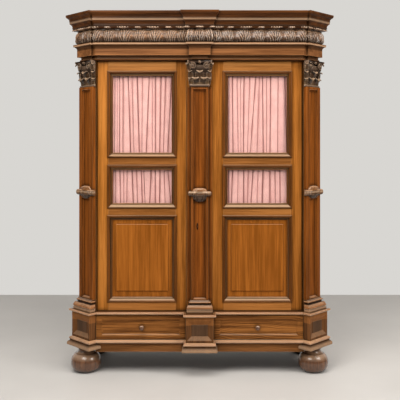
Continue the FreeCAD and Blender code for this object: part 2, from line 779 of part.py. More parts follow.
for name, side in (("left", -1), ("right", 1)):
    label = f"{name}_drawer_front"
    front = keep(new_body(label))
    outline = on_side(side, rectangle(*front_x, *front_z))
    face = draw(front, f"{label}_outline", "XZ_Plane", front_y[1], outline)
    pad(front, f"{label}_board", face, dim.rail_thick)
    low_x, high_x = front_x if side > 0 else (-front_x[1], -front_x[0])
    rim = (
        low_x + dim.drawer_margin,
        high_x - dim.drawer_margin,
        front_z[0] + dim.drawer_rim,
        front_z[1] - dim.drawer_rim,
    )
    sink(front, label, front_y[0], dim.drawer_sink, rim, dim.drawer_bevel)

    label = f"{name}_drawer_box"
    inner_end = (tray_x[0], tray_x[0] + dim.drawer_side)
    outer_end = (tray_x[1] - dim.drawer_side, tray_x[1])
    between = (inner_end[1], outer_end[0])
    boards = [
        side_box(f"{label}_inner", side, inner_end, tray_y, tray_z),
        side_box(f"{label}_outer", side, outer_end, tray_y, tray_z),
        side_box(f"{label}_back", side, between, (tray_y[1] - dim.drawer_side, tray_y[1]), tray_z),
        side_box(
            f"{label}_floor",
            side,
            between,
            (tray_y[0], tray_y[1] - dim.drawer_side),
            (tray_z[0] + dim.gap * HALF, tray_z[0] + dim.gap * HALF + floor_thick),
        ),
    ]
    keep(gather(label, boards))

    label = f"{name}_drawer_knob"
    seat = (side * knob_x, front_y[0] + dim.drawer_sink, front_z[0] + dim.knob_rise)
    knob = keep(new_body(label, *seat))
    reach = dim.knob_long + dim.drawer_sink
    knob_outline = [
        (0, 0),
        (dim.knob_stem, 0),
        (dim.knob_stem, -reach * 0.4),
        Bow(dim.knob_radius, -reach * 0.68, -dim.knob_radius * 0.15),
        Bow(dim.knob_stem * 0.5, -reach, -dim.knob_radius * 0.2),
        (0, -reach),
    ]
    turn(knob, f"{label}_turning", knob_outline, "XY_Plane")

# Case

case_inner = dim.case_half - dim.board
case_span = (case_z, case_top_z)
post_line = dim.case_half - dim.post_run - cant_back
deck_half = [
    (post_x, stop_face),
    (post_x, stop_back),
    (post_line + stop_back, stop_back),
    (dim.case_half - dim.post_run, cant_back),
    (case_inner, cant_back),
    (case_inner, back_face),
]
post_corners = [
    (corner_x, dim.case_front),
    (dim.case_half, cant_back),
    (dim.case_half - dim.post_run, cant_back),
    (post_line + stop_back, stop_back),
    (post_x, stop_back),
    (post_x, stop_face),
    (corner_x, stop_face),
]
for name, side in (("left", -1), ("right", 1)):
    label = f"case_{name}_side"
    span = (case_inner, dim.case_half)
    keep(side_box(label, side, span, (cant_back, back_face), case_span))
    keep(slab(f"{name}_corner_post", on_side(side, post_corners), case_z, dim.case_high))
back_span = (-dim.case_half, dim.case_half)
keep(box("case_back", back_span, (back_face, dim.body_deep), case_span))
keep(slab("case_floor", both_sides(deck_half), case_z, dim.board))

panel_low = door_z + dim.rail_foot
cross_low = panel_low + dim.panel_high
mid_low = cross_low + dim.rail_low
cross_up = mid_low + dim.mid_high
light_low = cross_up + dim.rail_up
light_top = door_top - dim.rail_top
shelf_levels = (
    ("lower_shelf", cross_low + dim.shelf_set),
    ("upper_shelf", cross_up + dim.shelf_set),
)

shelf_x = case_inner - dim.slip
shelf_line = post_line - dim.slip * 2
shelf_half = [
    (dim.shelf_front + shelf_line, dim.shelf_front),
    (shelf_x, shelf_x - shelf_line),
    (shelf_x, back_face - dim.slip),
]
battens = []
for label, level in shelf_levels:
    keep(slab(label, both_sides(shelf_half), level, dim.shelf_thick))
    for name, side in (("left", -1), ("right", 1)):
        span = (case_inner - dim.batten, case_inner)
        ends = (cant_back, back_face)
        rise = (level - dim.batten, level)
        battens.append(side_box(f"{label}_{name}_batten", side, span, ends, rise))
keep(gather("shelf_battens", battens))

case_top = keep(slab("case_top", both_sides(deck_half), case_top_z - dim.board, dim.board))
flush_y = dim.door_back + dim.flush_back
flush_hole = dim.flush_radius + dim.slip
drill(case_top, "case_top_keep", -dim.flush_x, flush_y, case_top_z, flush_hole, dim.board)


# Pilasters and capitals. Each is drawn from the face that carries it, with the reach to
# the front. A corner pilaster wider than the cant is cut back in line with the case.

def pier_outline(half, reach, limit, hollow=0):
    """Plan of a pier; `limit` is half the width of the face that carries it, or None."""
    if limit is None or half.value <= limit.value:
        return [(-half, 0), (-half, -reach), Bow(half, -reach, -hollow), (half, 0)]
    return [
        (-limit, 0),
        (-half, limit - half),
        (-half, -reach),
        Bow(half, -reach, -hollow),
        (half, limit - half),
        (limit, 0),
    ]


def pier_loft(body, name, low, rise, core, full, limit, steps):
    """Mouldings round a pier: each step is a share of the height and of the spread."""
    sections = []
    for count, (up, spread) in enumerate(steps):
        half = core[0] + (full[0] - core[0]) * spread
        reach = core[1] + (full[1] - core[1]) * spread
        plan = pier_outline(half, reach, limit)
        sections.append(draw(body, f"{name}_{count}", "XY_Plane", low + rise * up, plan))
    return loft(body, name, sections)


def pier_block(body, name, low, high, half, reach, limit):
    """A plain length of a pier."""
    plan = draw(body, f"{name}_plan", "XY_Plane", low, pier_outline(half, reach, limit))
    return pad(body, name, plan, high - low)


FOOT_STEPS = ((0, 0.9), (0.14, 1), (0.3, 0.9), (0.38, 0.5), (0.5, 0.62), (0.62, 0.5), (1, 0.14))
CUP_STEPS = ((0, 0.14), (0.3, 0.4), (0.7, 0.72), (1, 0.9))
DOME_STEPS = ((0, 0.86), (0.4, 0.7), (0.8, 0.4), (1, 0.14))
BELL_STEPS = ((0, 0.3), (0.07, 0.3), (0.1, 0.1), (0.45, 0.14), (0.75, 0.42), (1, 0.86))


def pilaster(body, label, foot, widths, limit):
    """A pilaster: plinth block, base moulding, panelled shaft and a ring round it."""
    plinth, torus, core, ring, panel_half = widths
    block_top = case_z + dim.plinth_high
    shaft_foot = block_top + dim.torus_high
    shaft_top = case_top_z - dim.capital_high
    ring_z = case_z + dim.ring_low
    bar_z = ring_z + dim.ring_cup
    dome_z = bar_z + dim.ring_bar
    pier_block(body, f"{label}_plinth", foot, block_top, *plinth, limit)
    pier_loft(body, f"{label}_torus", block_top, dim.torus_high, core, torus, limit, FOOT_STEPS)
    pier_block(body, f"{label}_shaft", block_top, shaft_top, *core, limit)
    pier_loft(body, f"{label}_cup", ring_z, dim.ring_cup, core, ring, limit, CUP_STEPS)
    pier_block(body, f"{label}_bar", bar_z, dome_z, *ring, limit)
    pier_loft(body, f"{label}_dome", dome_z, dim.ring_dome, core, ring, limit, DOME_STEPS)
    face = -core[1]
    spans = (
        ("low", shaft_foot + dim.shaft_bevel * 2, ring_z - dim.shaft_bevel * 2),
        ("high", dome_z + dim.ring_dome + dim.shaft_bevel * 2, shaft_top - dim.shaft_bevel * 2),
    )
    for name, low, high in spans:
        rim = (-panel_half, panel_half, low, high)
        sink(body, f"{label}_{name}_panel", face, dim.shaft_sink, rim, dim.shaft_bevel)


def capital(body, label, top, core, full, limit):
    """A capital: a bell that swells to a hollow-fronted abacus, with two volutes."""
    foot = case_top_z - dim.capital_high
    abacus_z = top - dim.abacus_high
    rise = abacus_z - foot
    pier_loft(body, f"{label}_bell", foot, rise, core, full, limit, BELL_STEPS)
    plan = pier_outline(*full, limit, dim.abacus_high * 0.35)
    outline = draw(body, f"{label}_abacus_plan", "XY_Plane", abacus_z, plan)
    pad(body, f"{label}_abacus", outline, dim.abacus_high)
    volute = dim.abacus_high * 0.8
    for name, side in (("left", -1), ("right", 1)):
        sketch = body.newObject("Sketcher::SketchObject", f"{label}_{name}_volute_mark")
        sketch.AttachmentSupport = (own_plane(body, "XZ_Plane"), [""])
        sketch.MapMode = "FlatFace"
        bind(sketch, "AttachmentOffset.Base.z", full[1] * 0.6)
        x = side * (full[0] - volute)
        z = abacus_z - volute * 0.8
        circle = Part.Circle(Vector(x.value, z.value, 0), Vector(0, 0, 1), volute.value)
        sketch.addGeometry(circle)
        sketch.addConstraint(
            [
                Sketcher.Constraint("DistanceX", -1, 1, 0, 3, x.value),
                Sketcher.Constraint("DistanceY", -1, 1, 0, 3, z.value),
                Sketcher.Constraint("Radius", 0, volute.value),
            ]
        )
        for index, (name_of, size) in enumerate((("Across", x), ("Up", z), ("Round", volute))):
            sketch.renameConstraint(index, name_of)
            sketch.setExpression(f"Constraints.{name_of}", size.text)
        pad(body, f"{label}_{name}_volute", sketch, full[1] * 0.34)


corner_widths = (
    (dim.plinth_half, dim.plinth_reach),
    (dim.torus_half, dim.torus_reach),
    (dim.shaft_half, dim.shaft_reach),
    (dim.ring_half, dim.ring_reach),
    dim.shaft_panel,
)
for name, side in (("left", -1), ("right", 1)):
    label = f"{name}_pilaster"
    body = keep(canted_body(label, side))
    pilaster(body, label, case_z, corner_widths, cant_half)
    label = f"{name}_capital"
    body = keep(canted_body(label, side))
    core = (dim.shaft_half, dim.shaft_reach)
    capital(body, label, case_top_z, core, (dim.abacus_half, dim.abacus_reach), cant_half)

# Entablature

entab_path = both_sides(entab_outline(as_size(0)))
groove_z = case_top_z + dim.bead_high
fascia_z = groove_z + dim.groove_high
bed_z = fascia_z + dim.fascia_high
fillet_z = bed_z + dim.bed_high
frieze_z = fillet_z + dim.fillet_high
egg_z = frieze_z + dim.frieze_high
cove_z = egg_z + dim.egg_high
drip_z = cove_z + dim.cove_high
crown_z = drip_z + dim.drip_high
top_z = crown_z + dim.crown_high

architrave_profile = [
    (-dim.wall_in, case_top_z),
    (-dim.groove_in, case_top_z),
    Bow(-dim.groove_in, groove_z, dim.bead_out),
    (-dim.groove_in, fascia_z),
    (as_size(0), fascia_z),
    (as_size(0), bed_z),
    Bow(dim.bed_out, fillet_z, -dim.bed_out * 0.3),
    (dim.fillet_out, fillet_z),
    (dim.fillet_out, frieze_z),
    (-dim.wall_in, frieze_z),
]
architrave = keep(new_body("architrave"))
run_moulding(architrave, "architrave_run", entab_path, entab_half, architrave_profile)
soffit_in = (dim.wall_in + dim.groove_in) / 2
soffit_half = entab_outline(-soffit_in)[:7] + [
    (entab_half - soffit_in, cant_back),
    (dim.case_half - dim.post_run, cant_back),
    (post_line + stop_back, stop_back),
]
soffit = draw(architrave, "soffit_outline", "XY_Plane", case_top_z, both_sides(soffit_half))
pad(architrave, "soffit", soffit, dim.bead_high)
for name, side in (("left", -1), ("right", 1)):
    spot = (side * pivot_x, pivot_y, case_top_z + socket_deep)
    drill(architrave, f"architrave_{name}_socket", *spot, dim.pin_radius + dim.slip, socket_deep)

frieze_profile = [
    (-dim.frieze_in, frieze_z),
    (dim.frieze_foot, frieze_z),
    Bow(as_size(0), frieze_z + dim.frieze_high * 0.57, dim.frieze_swell),
    (dim.frieze_foot, frieze_z + dim.frieze_high * 0.72),
    (dim.frieze_top, frieze_z + dim.frieze_high * 0.86),
    (dim.frieze_top, egg_z),
    (-dim.frieze_in, egg_z),
]
frieze = keep(new_body("frieze"))
run_moulding(frieze, "frieze_run", entab_path, entab_half, frieze_profile)

cornice_profile = [
    (-dim.cornice_in, egg_z),
    (dim.frieze_top, egg_z),
    Bow(dim.egg_out, cove_z, dim.egg_high * 0.2),
    (dim.egg_out + dim.gap * 2, cove_z),
    Bow(dim.drip_out, drip_z, -dim.cove_high * 0.2),
    (dim.drip_out, crown_z),
    (dim.drip_out + dim.gap, crown_z),
    Bow((dim.drip_out + dim.crown_out) / 2, crown_z + dim.crown_high * 0.5, -dim.crown_high * 0.08),
    Bow(dim.crown_out, top_z - dim.gap * 3, dim.crown_high * 0.06),
    (dim.crown_out, top_z),
    (-dim.cornice_in, top_z),
]
cornice = keep(new_body("cornice"))
run_moulding(cornice, "cornice_run", entab_path, entab_half, cornice_profile)
keep(slab("cornice_top", both_sides(entab_outline(-dim.cornice_in - dim.slip)), egg_z, dim.board))

# Doors. Each leaf is written for the right; the left one is its mirror, except for the
# stile at the meeting edge: the right leaf's is wide and carries the middle pilaster.

stile_x = (door_edge - dim.stile_wide, door_edge)
leaf_y = (door_face, dim.door_back)
leaf_z = (door_z, door_top)
open_x = (dim.meeting_x, stile_x[0])
right_edge = -(dim.meeting_line - dim.gap / 2)
left_edge = dim.meeting_line + dim.gap / 2
lock_z = case_z + dim.lock_rise
bolt_z = (lock_z - dim.bolt_high / 2, lock_z + dim.bolt_high / 2)
leaf_mid = (door_face + dim.door_back) / 2
bolt_y = (leaf_mid - dim.bolt_thick / 2, leaf_mid + dim.bolt_thick / 2)
mortise_y = (bolt_y[0] - dim.slip, bolt_y[1] + dim.slip)
mortise_z = (bolt_z[0] - dim.slip, bolt_z[1] + dim.slip)
stile_corners = [
    (stile_x[0], door_face),
    (pivot_x, door_face),
    Bow(door_edge, pivot_y, dim.pivot_in * (1 - ROOT_HALF)),
    (door_edge, dim.door_back),
    (stile_x[0], dim.door_back),
]


def trim_frame(label, side, span_z, wide, back):
    """A mitred moulding inside an opening, falling from its outer edge to the inside."""
    body = new_body(label)
    low_x, high_x = open_x if side > 0 else (-open_x[1], -open_x[0])
    low_z, high_z = span_z
    face = door_face - dim.trim_proud
    plan = rectangle(low_x, high_x, low_z, high_z)
    outline = draw(body, f"{label}_outline", "XZ_Plane", back, plan)
    pad(body, f"{label}_pad", outline, back - face)
    sections = []
    for count, (inset, depth) in enumerate(
        ((wide - dim.trim_slope, face), (wide, face + dim.trim_slope), (wide, back))
    ):
        hole = rectangle(low_x + inset, high_x - inset, low_z + inset, high_z - inset)
        sections.append(draw(body, f"{label}_sight_{count}", "XZ_Plane", depth, hole))
    loft(body, f"{label}_opening", sections, "Subtractive")
    return body


def rod_set(label, side, level):
    """A curtain rod behind a door, between two brackets."""
    ends = (open_x[0] - dim.curtain_hem, open_x[1] + dim.curtain_hem)
    depth = (dim.door_back, dim.door_back + dim.rod_back * 2)
    rise = (level - dim.rod_back, level + dim.rod_back)
    rod = doc.addObject("Part::Cylinder", f"{label}_rod")
    rod.Label = f"{label}_rod"
    bind(rod, "Radius", dim.rod_radius)
    bind(rod, "Height", ends[1] - ends[0])
    start = ends[0] if side > 0 else -ends[1]
    place(rod, start, dim.door_back + dim.rod_back, level)
    rod.Placement.Rotation = Rotation(Vector(0, 1, 0), 90)
    foot = dim.rod_back * 0.75
    inner = side_box(f"{label}_inner_bracket", side, (ends[0] - foot, ends[0]), depth, rise)
    outer = side_box(f"{label}_outer_bracket", side, (ends[1], ends[1] + foot), depth, rise)
    return [rod, inner, outer]


for name, side in (("left", -1), ("right", 1)):
    door = f"{name}_door"
    keep(slab(f"{door}_outer_stile", on_side(side, stile_corners), door_z, door_top - door_z))
    if side > 0:
        stile = box(f"{door}_stile_board", (right_edge, dim.meeting_x), leaf_y, leaf_z)
        mortise_x = (right_edge, right_edge + dim.bolt_long + dim.gap)
    else:
        stile = box(f"{door}_stile_board", (-dim.meeting_x, -left_edge), leaf_y, leaf_z)
        mortise_x = (-left_edge - dim.bolt_throw - dim.gap, -left_edge)
    mortise = box(f"{door}_mortise", mortise_x, mortise_y, mortise_z)
    keep(cut(f"{door}_inner_stile", stile, mortise))

    rails = []
    for count, (low, high) in enumerate(
        (
            (door_z, panel_low),
            (cross_low, mid_low),
            (cross_up, light_low),
            (light_top, door_top),
        )
    ):
        rails.append(side_box(f"{door}_rail_{count}", side, open_x, leaf_y, (low, high)))
    keep(gather(f"{door}_rails", rails))

    trim_back = door_face + dim.trim_deep
    label = f"{door}_panel"
    panel = keep(new_body(label))
    low_x, high_x = open_x if side > 0 else (-open_x[1], -open_x[0])
    plan = rectangle(low_x, high_x, panel_low, cross_low)
    outline = draw(panel, f"{label}_outline", "XZ_Plane", trim_back + dim.panel_thick, plan)
    pad(panel, f"{label}_board", outline, dim.panel_thick)
    splay_x = dim.trim_wide + dim.panel_margin
    splay_z = dim.trim_wide + dim.panel_margin_up
    field_steps = (
        (dim.trim_wide, dim.trim_wide, trim_back),
        (splay_x, splay_z, trim_back - dim.panel_rise),
    )
    sections = []
    for count, (inset, inset_z, depth) in enumerate(field_steps):
        field = rectangle(
            low_x + inset, high_x - inset, panel_low + inset_z, cross_low - inset_z
        )
        sections.append(draw(panel, f"{label}_field_{count}", "XZ_Plane", depth, field))
    loft(panel, f"{label}_field", sections)

    openings = (
        ("panel", (panel_low, cross_low), dim.trim_wide),
        ("mid", (mid_low, cross_up), dim.bead_wide),
        ("light", (light_low, light_top), dim.bead_wide),
    )
    frames = [
        trim_frame(f"{door}_{place_name}_trim", side, span, wide, trim_back)
        for place_name, span, wide in openings
    ]
    keep(gather(f"{door}_mouldings", frames))

    pane_x = (open_x[0] + dim.slip, open_x[1] - dim.slip)
    pane_y = (trim_back, trim_back + dim.glass_thick)
    panes = []
    for place_name, (low, high), wide in openings[1:]:
        pane_z = (low + dim.slip, high - dim.slip)
        panes.append(side_box(f"{door}_{place_name}_pane", side, pane_x, pane_y, pane_z))
    keep(gather(f"{door}_glass", panes))

    fittings = []
    curtains = []
    cloth_x = (open_x[0] - dim.curtain_lap, open_x[1] + dim.curtain_lap)
    cloth_mid = dim.door_back + dim.rod_back
    cloth_y = (cloth_mid - dim.curtain_thick / 2, cloth_mid + dim.curtain_thick / 2)
    for place_name, (low, high), wide in openings[1:]:
        rod_z = high + dim.curtain_hem
        fittings += rod_set(f"{door}_{place_name}", side, rod_z)
        cloth_z = (low - dim.curtain_hem, rod_z - dim.rod_radius - dim.slip)
        label = f"{door}_{place_name}_curtain"
        curtains.append(side_box(label, side, cloth_x, cloth_y, cloth_z))
    keep(gather(f"{door}_curtains", curtains))

    pins = ((case_z - dim.pin_long, door_z), (door_top, case_top_z + dim.pin_long))
    for count, (low, high) in enumerate(pins):
        label = f"{door}_pin_{count}"
        fittings.append(upright(label, side * pivot_x, pivot_y, low, high, dim.pin_radius))
    plate_y = (dim.door_back, dim.door_back + dim.pin_radius)
    if side > 0:
        plate_x = (right_edge + dim.gap, right_edge + dim.bolt_long * 2)
        plate_z = (lock_z - dim.bolt_high, lock_z + dim.bolt_high)
        fittings.append(box("lock_plate", plate_x, plate_y, plate_z))
    else:
        flush_top = case_top_z - dim.board - dim.flush_room
        keeper_x = (-dim.flush_x - dim.keeper, -dim.flush_x + dim.keeper)
        keeper_y = (dim.door_back, flush_y + dim.keeper)
        keeper_feet = (flush_top - dim.flush_long + dim.keeper, flush_top - dim.keeper * 2)
        for count, low in enumerate(keeper_feet):
            high = low + dim.keeper
            block = box(f"keeper_block_{count}", keeper_x, keeper_y, (low, high))
            hole = upright(f"keeper_hole_{count}", -dim.flush_x, flush_y, low, high, flush_hole)
            fittings.append(cut(f"keeper_{count}", block, hole))
    keep(gather(f"{door}_fittings", fittings))

body = keep(new_body("centre_pilaster", 0, door_face))
centre_widths = (
    (dim.mid_plinth, dim.mid_plinth_out),
    (dim.mid_plinth - dim.gap, dim.mid_plinth_out - dim.gap * 2),
    (dim.mid_shaft, dim.mid_shaft_out),
    (dim.mid_ring, dim.mid_ring_out),
    dim.mid_panel,
)
pilaster(body, "centre_pilaster", door_z, centre_widths, None)
body = keep(new_body("centre_capital", 0, door_face))
mid_core = (dim.mid_shaft, dim.mid_shaft_out)
capital(body, "centre_capital", door_top, mid_core, (dim.mid_abacus, dim.mid_abacus_out), None)

bolt_x = (right_edge + dim.slip, right_edge + dim.slip + dim.bolt_long)
keep(box("lock_bolt", bolt_x, bolt_y, bolt_z))
flush_foot = flush_top - dim.flush_long
keep(upright("left_door_bolt", -dim.flush_x, flush_y, flush_foot, flush_top, dim.flush_radius))

# Make the model, look every object over, and only then write the sub-parts out

doc.recompute()
for thing in doc.Objects:
    if "Invalid" in thing.State or "Error" in thing.State:
        raise RuntimeError(f"{thing.Label} failed: {thing.State}")
for piece in nodes:
    if piece.Shape.isNull() or not piece.Shape.isValid():
        raise RuntimeError(f"{piece.Label} has no sound shape")

os.makedirs("parts", exist_ok=True)
for piece in nodes:
    piece.Shape.exportStep(f"parts/{piece.Label}.step")

whole = Part.makeCompound([piece.Shape for piece in nodes])
bounds = whole.BoundBox
print(f"{len(nodes)} sub-parts, {len(whole.Solids)} solids")
print(f"X {bounds.XMin:.1f} to {bounds.XMax:.1f}")
print(f"Y {bounds.YMin:.1f} to {bounds.YMax:.1f}")
print(f"Z {bounds.ZMin:.1f} to {bounds.ZMax:.1f}")
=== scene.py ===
import bpy
import numpy as np
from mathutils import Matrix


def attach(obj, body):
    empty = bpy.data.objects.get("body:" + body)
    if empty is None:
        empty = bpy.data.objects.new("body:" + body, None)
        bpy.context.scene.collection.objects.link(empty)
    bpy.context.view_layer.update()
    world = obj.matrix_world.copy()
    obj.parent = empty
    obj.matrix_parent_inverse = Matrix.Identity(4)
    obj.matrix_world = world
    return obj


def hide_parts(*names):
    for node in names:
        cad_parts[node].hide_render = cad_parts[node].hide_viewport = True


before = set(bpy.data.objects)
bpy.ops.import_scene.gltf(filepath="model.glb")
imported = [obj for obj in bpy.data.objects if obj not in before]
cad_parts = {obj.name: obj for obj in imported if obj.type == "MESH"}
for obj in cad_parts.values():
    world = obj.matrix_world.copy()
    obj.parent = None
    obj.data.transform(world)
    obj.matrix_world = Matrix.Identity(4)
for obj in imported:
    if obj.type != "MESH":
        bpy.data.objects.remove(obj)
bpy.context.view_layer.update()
scene = bpy.context.scene

# %% [markdown]
# ## Where things are
# The cupboard stands at the middle of the floor and faces -Y. Blender's lengths are metres, but a
# cupboard is drawn in millimetres, with depths measured back from the line through the front
# arrises of the corner pedestals. The shapes below are therefore worked out in millimetres and
# turned into metres at the very end: `depth(d)` makes a Y coordinate of such a depth.

# %% Shared numbers
MM = 0.001
DATUM = 0.259
HANDS = ((-1.0, "left"), (1.0, "right"))


def depth(d):
    """Y coordinate of a depth d, in millimetres behind the front line: y = d / 1000 - 0.259."""
    return np.asarray(d, float) * MM - DATUM


print("front line at y =", -DATUM)

# %% [markdown]
# ## Camera
# Tall furniture is shown with its uprights parallel. Tilting the camera down to fit the feet in
# would make them lean towards each other. A lens shift slides the picture down instead, as the
# rising front of a view camera does, so the camera can look level at the doors from far off.

# %% Camera
LENS = 60.1
SHIFT = (0.0008, -0.1325)
EYE_DEPTH, EYE_HEIGHT = -4008, 1.3746

camera_data = bpy.data.cameras.new("Camera")
camera_data.sensor_width = 36.0
camera_data.lens = LENS
camera_data.shift_x, camera_data.shift_y = SHIFT
camera = bpy.data.objects.new("Camera", camera_data)
camera.location = (0.0, float(depth(EYE_DEPTH)), EYE_HEIGHT)
camera.rotation_euler = (np.pi / 2, 0.0, 0.0)
scene.collection.objects.link(camera)
scene.camera = camera
print("camera at", tuple(round(v, 3) for v in camera.location))

# %% [markdown]
# ## Materials
# A material in Blender is a network of nodes. It can be drawn by hand in the editor, but a network
# in code can be read, changed and used again for many woods. `Net` is a shorthand that adds a
# node and wires its inputs, so that a material reads as a list of steps.

# %% Node helper


class Net:
    """Builds the node network of one material, or of the world."""

    def __init__(self, name, owner=None):
        self.material = owner or bpy.data.materials.new(name)
        self.material.use_nodes = True
        self.tree = self.material.node_tree
        self.tree.nodes.clear()

    def plug(self, socket, value):
        """Set an input to a number or a colour, or wire another node's output into it."""
        if isinstance(value, bpy.types.NodeSocket):
            self.tree.links.new(value, socket)
        else:
            socket.default_value = value

    def add(self, kind, inputs=None, **settings):
        """Add a node, set its properties, and fill its inputs."""
        node = self.tree.nodes.new(kind)
        for key, value in settings.items():
            setattr(node, key, value)
        for key, value in (inputs or {}).items():
            self.plug(node.inputs[key], value)
        return node

    def place(self):
        """The point on the object that is being shaded."""
        return self.add("ShaderNodeTexCoord").outputs["Object"]

    def math(self, operation, a, b=0.0, c=0.0):
        """One arithmetic step."""
        return self.add("ShaderNodeMath", {0: a, 1: b, 2: c}, operation=operation).outputs[0]

    def remap(self, value, low, high, start, end):
        """Stretch low to high onto start to end, and hold the ends."""
        inputs = {0: value, 1: low, 2: high, 3: start, 4: end}
        return self.add("ShaderNodeMapRange", inputs).outputs[0]

    def noise(self, place, scale, detail=2.0, rough=0.5):
        """Smooth noise of 0 to 1, with about scale bumps to the metre."""
        inputs = {"Vector": place, "Scale": scale, "Detail": detail, "Roughness": rough}
        return self.add("ShaderNodeTexNoise", inputs).outputs[0]

    def openness(self, reach, samples, **settings):
        """How open the space round a point is, from 0 in a tight corner to 1 in the open."""
        node = self.add(
            "ShaderNodeAmbientOcclusion", {"Distance": reach}, samples=samples, **settings)
        return node.outputs[1]

    def mix(self, share, a, b):
        """Blend two colours; share 0 gives a, 1 gives b."""
        return self.add("ShaderNodeMix", {0: share, 6: a, 7: b}, data_type="RGBA").outputs[2]

    def ramp(self, value, stops):
        """Colour as a function of a value; stops are (position, colour)."""
        node = self.add("ShaderNodeValToRGB", {0: value})
        for element, (position, colour) in zip(node.color_ramp.elements, stops):
            element.position = position
            element.color = colour
        return node.outputs[0]

    def bump(self, height, strength, reach, **others):
        """A surface tilted by the slopes of a height."""
        inputs = {"Strength": strength, "Distance": reach, "Height": height, **others}
        return self.add("ShaderNodeBump", inputs).outputs[0]

    def skin(self, colour, rough, others=()):
        """The general surface shader: a colour, a roughness and its other inputs by name."""
        inputs = {"Base Color": colour, "Roughness": rough, **dict(others)}
        return self.add("ShaderNodeBsdfPrincipled", inputs).outputs[0]

    def finish(self, shader, end="ShaderNodeOutputMaterial"):
        """Wire the last shader to the surface."""
        self.tree.links.new(shader, self.add(end).inputs[0])
        return self.material


def rgb(red, green, blue):
    """A screen colour of 0 to 255 as linear light."""
    screen = np.array([red, green, blue]) / 255.0
    linear = np.where(screen <= 0.04045, screen / 12.92, ((screen + 0.055) / 1.055) ** 2.4)
    return (*[float(v) for v in linear], 1.0)


print("a middle grey as light:", round(rgb(128, 128, 128)[0], 3))

# %% [markdown]
# ## Wood
# The cupboard is of oak, darkened by wax and rubbed bright by hands, and its colour also carries
# painted light and shade. A picture of a board could be wrapped round each piece, but it would
# stretch on the mouldings and repeat from board to board. A pattern that fills space is cut afresh
# by every surface, as real wood is. Growth rings are cones round a heart that lies behind the
# board, so a flat board cuts them in arches. Fine fibres and short dark pores run along the grain.
# Dark wax and painted shade lie in corners that light doesn't reach, arrises are rubbed paler,
# partly as a painted highlight, and slopes that face up get a painted highlight. The bevel node
# softens every arris by about a millimetre.

# %% Wood
AXES = {"X": (1, 2, 0), "Z": (0, 1, 2)}
# Dark wax colour, also painted shade: in corners, on level tops, in the hollows of carving and in
# the dark bands.
WAX_AND_SHADE = (0.016, 0.007, 0.003, 1.0)
# Painted highlight: on open slopes that face up and in the bright bands.
PAINTED_HIGHLIGHT = (0.62, 0.42, 0.27, 1.0)
# Paler thin arrises: worn, and partly a painted highlight, more where they face up.
WORN_ARRIS_AND_HIGHLIGHT = (0.66, 0.40, 0.19, 1.0)
# Painted highlight on the ridges of carving.
CARVED_RIDGE_HIGHLIGHT = (0.58, 0.41, 0.29, 1.0)
RING_WIDTH = 0.0085
ARRIS, THIN = 0.0014, 0.0035
BAND_EDGE = 0.002


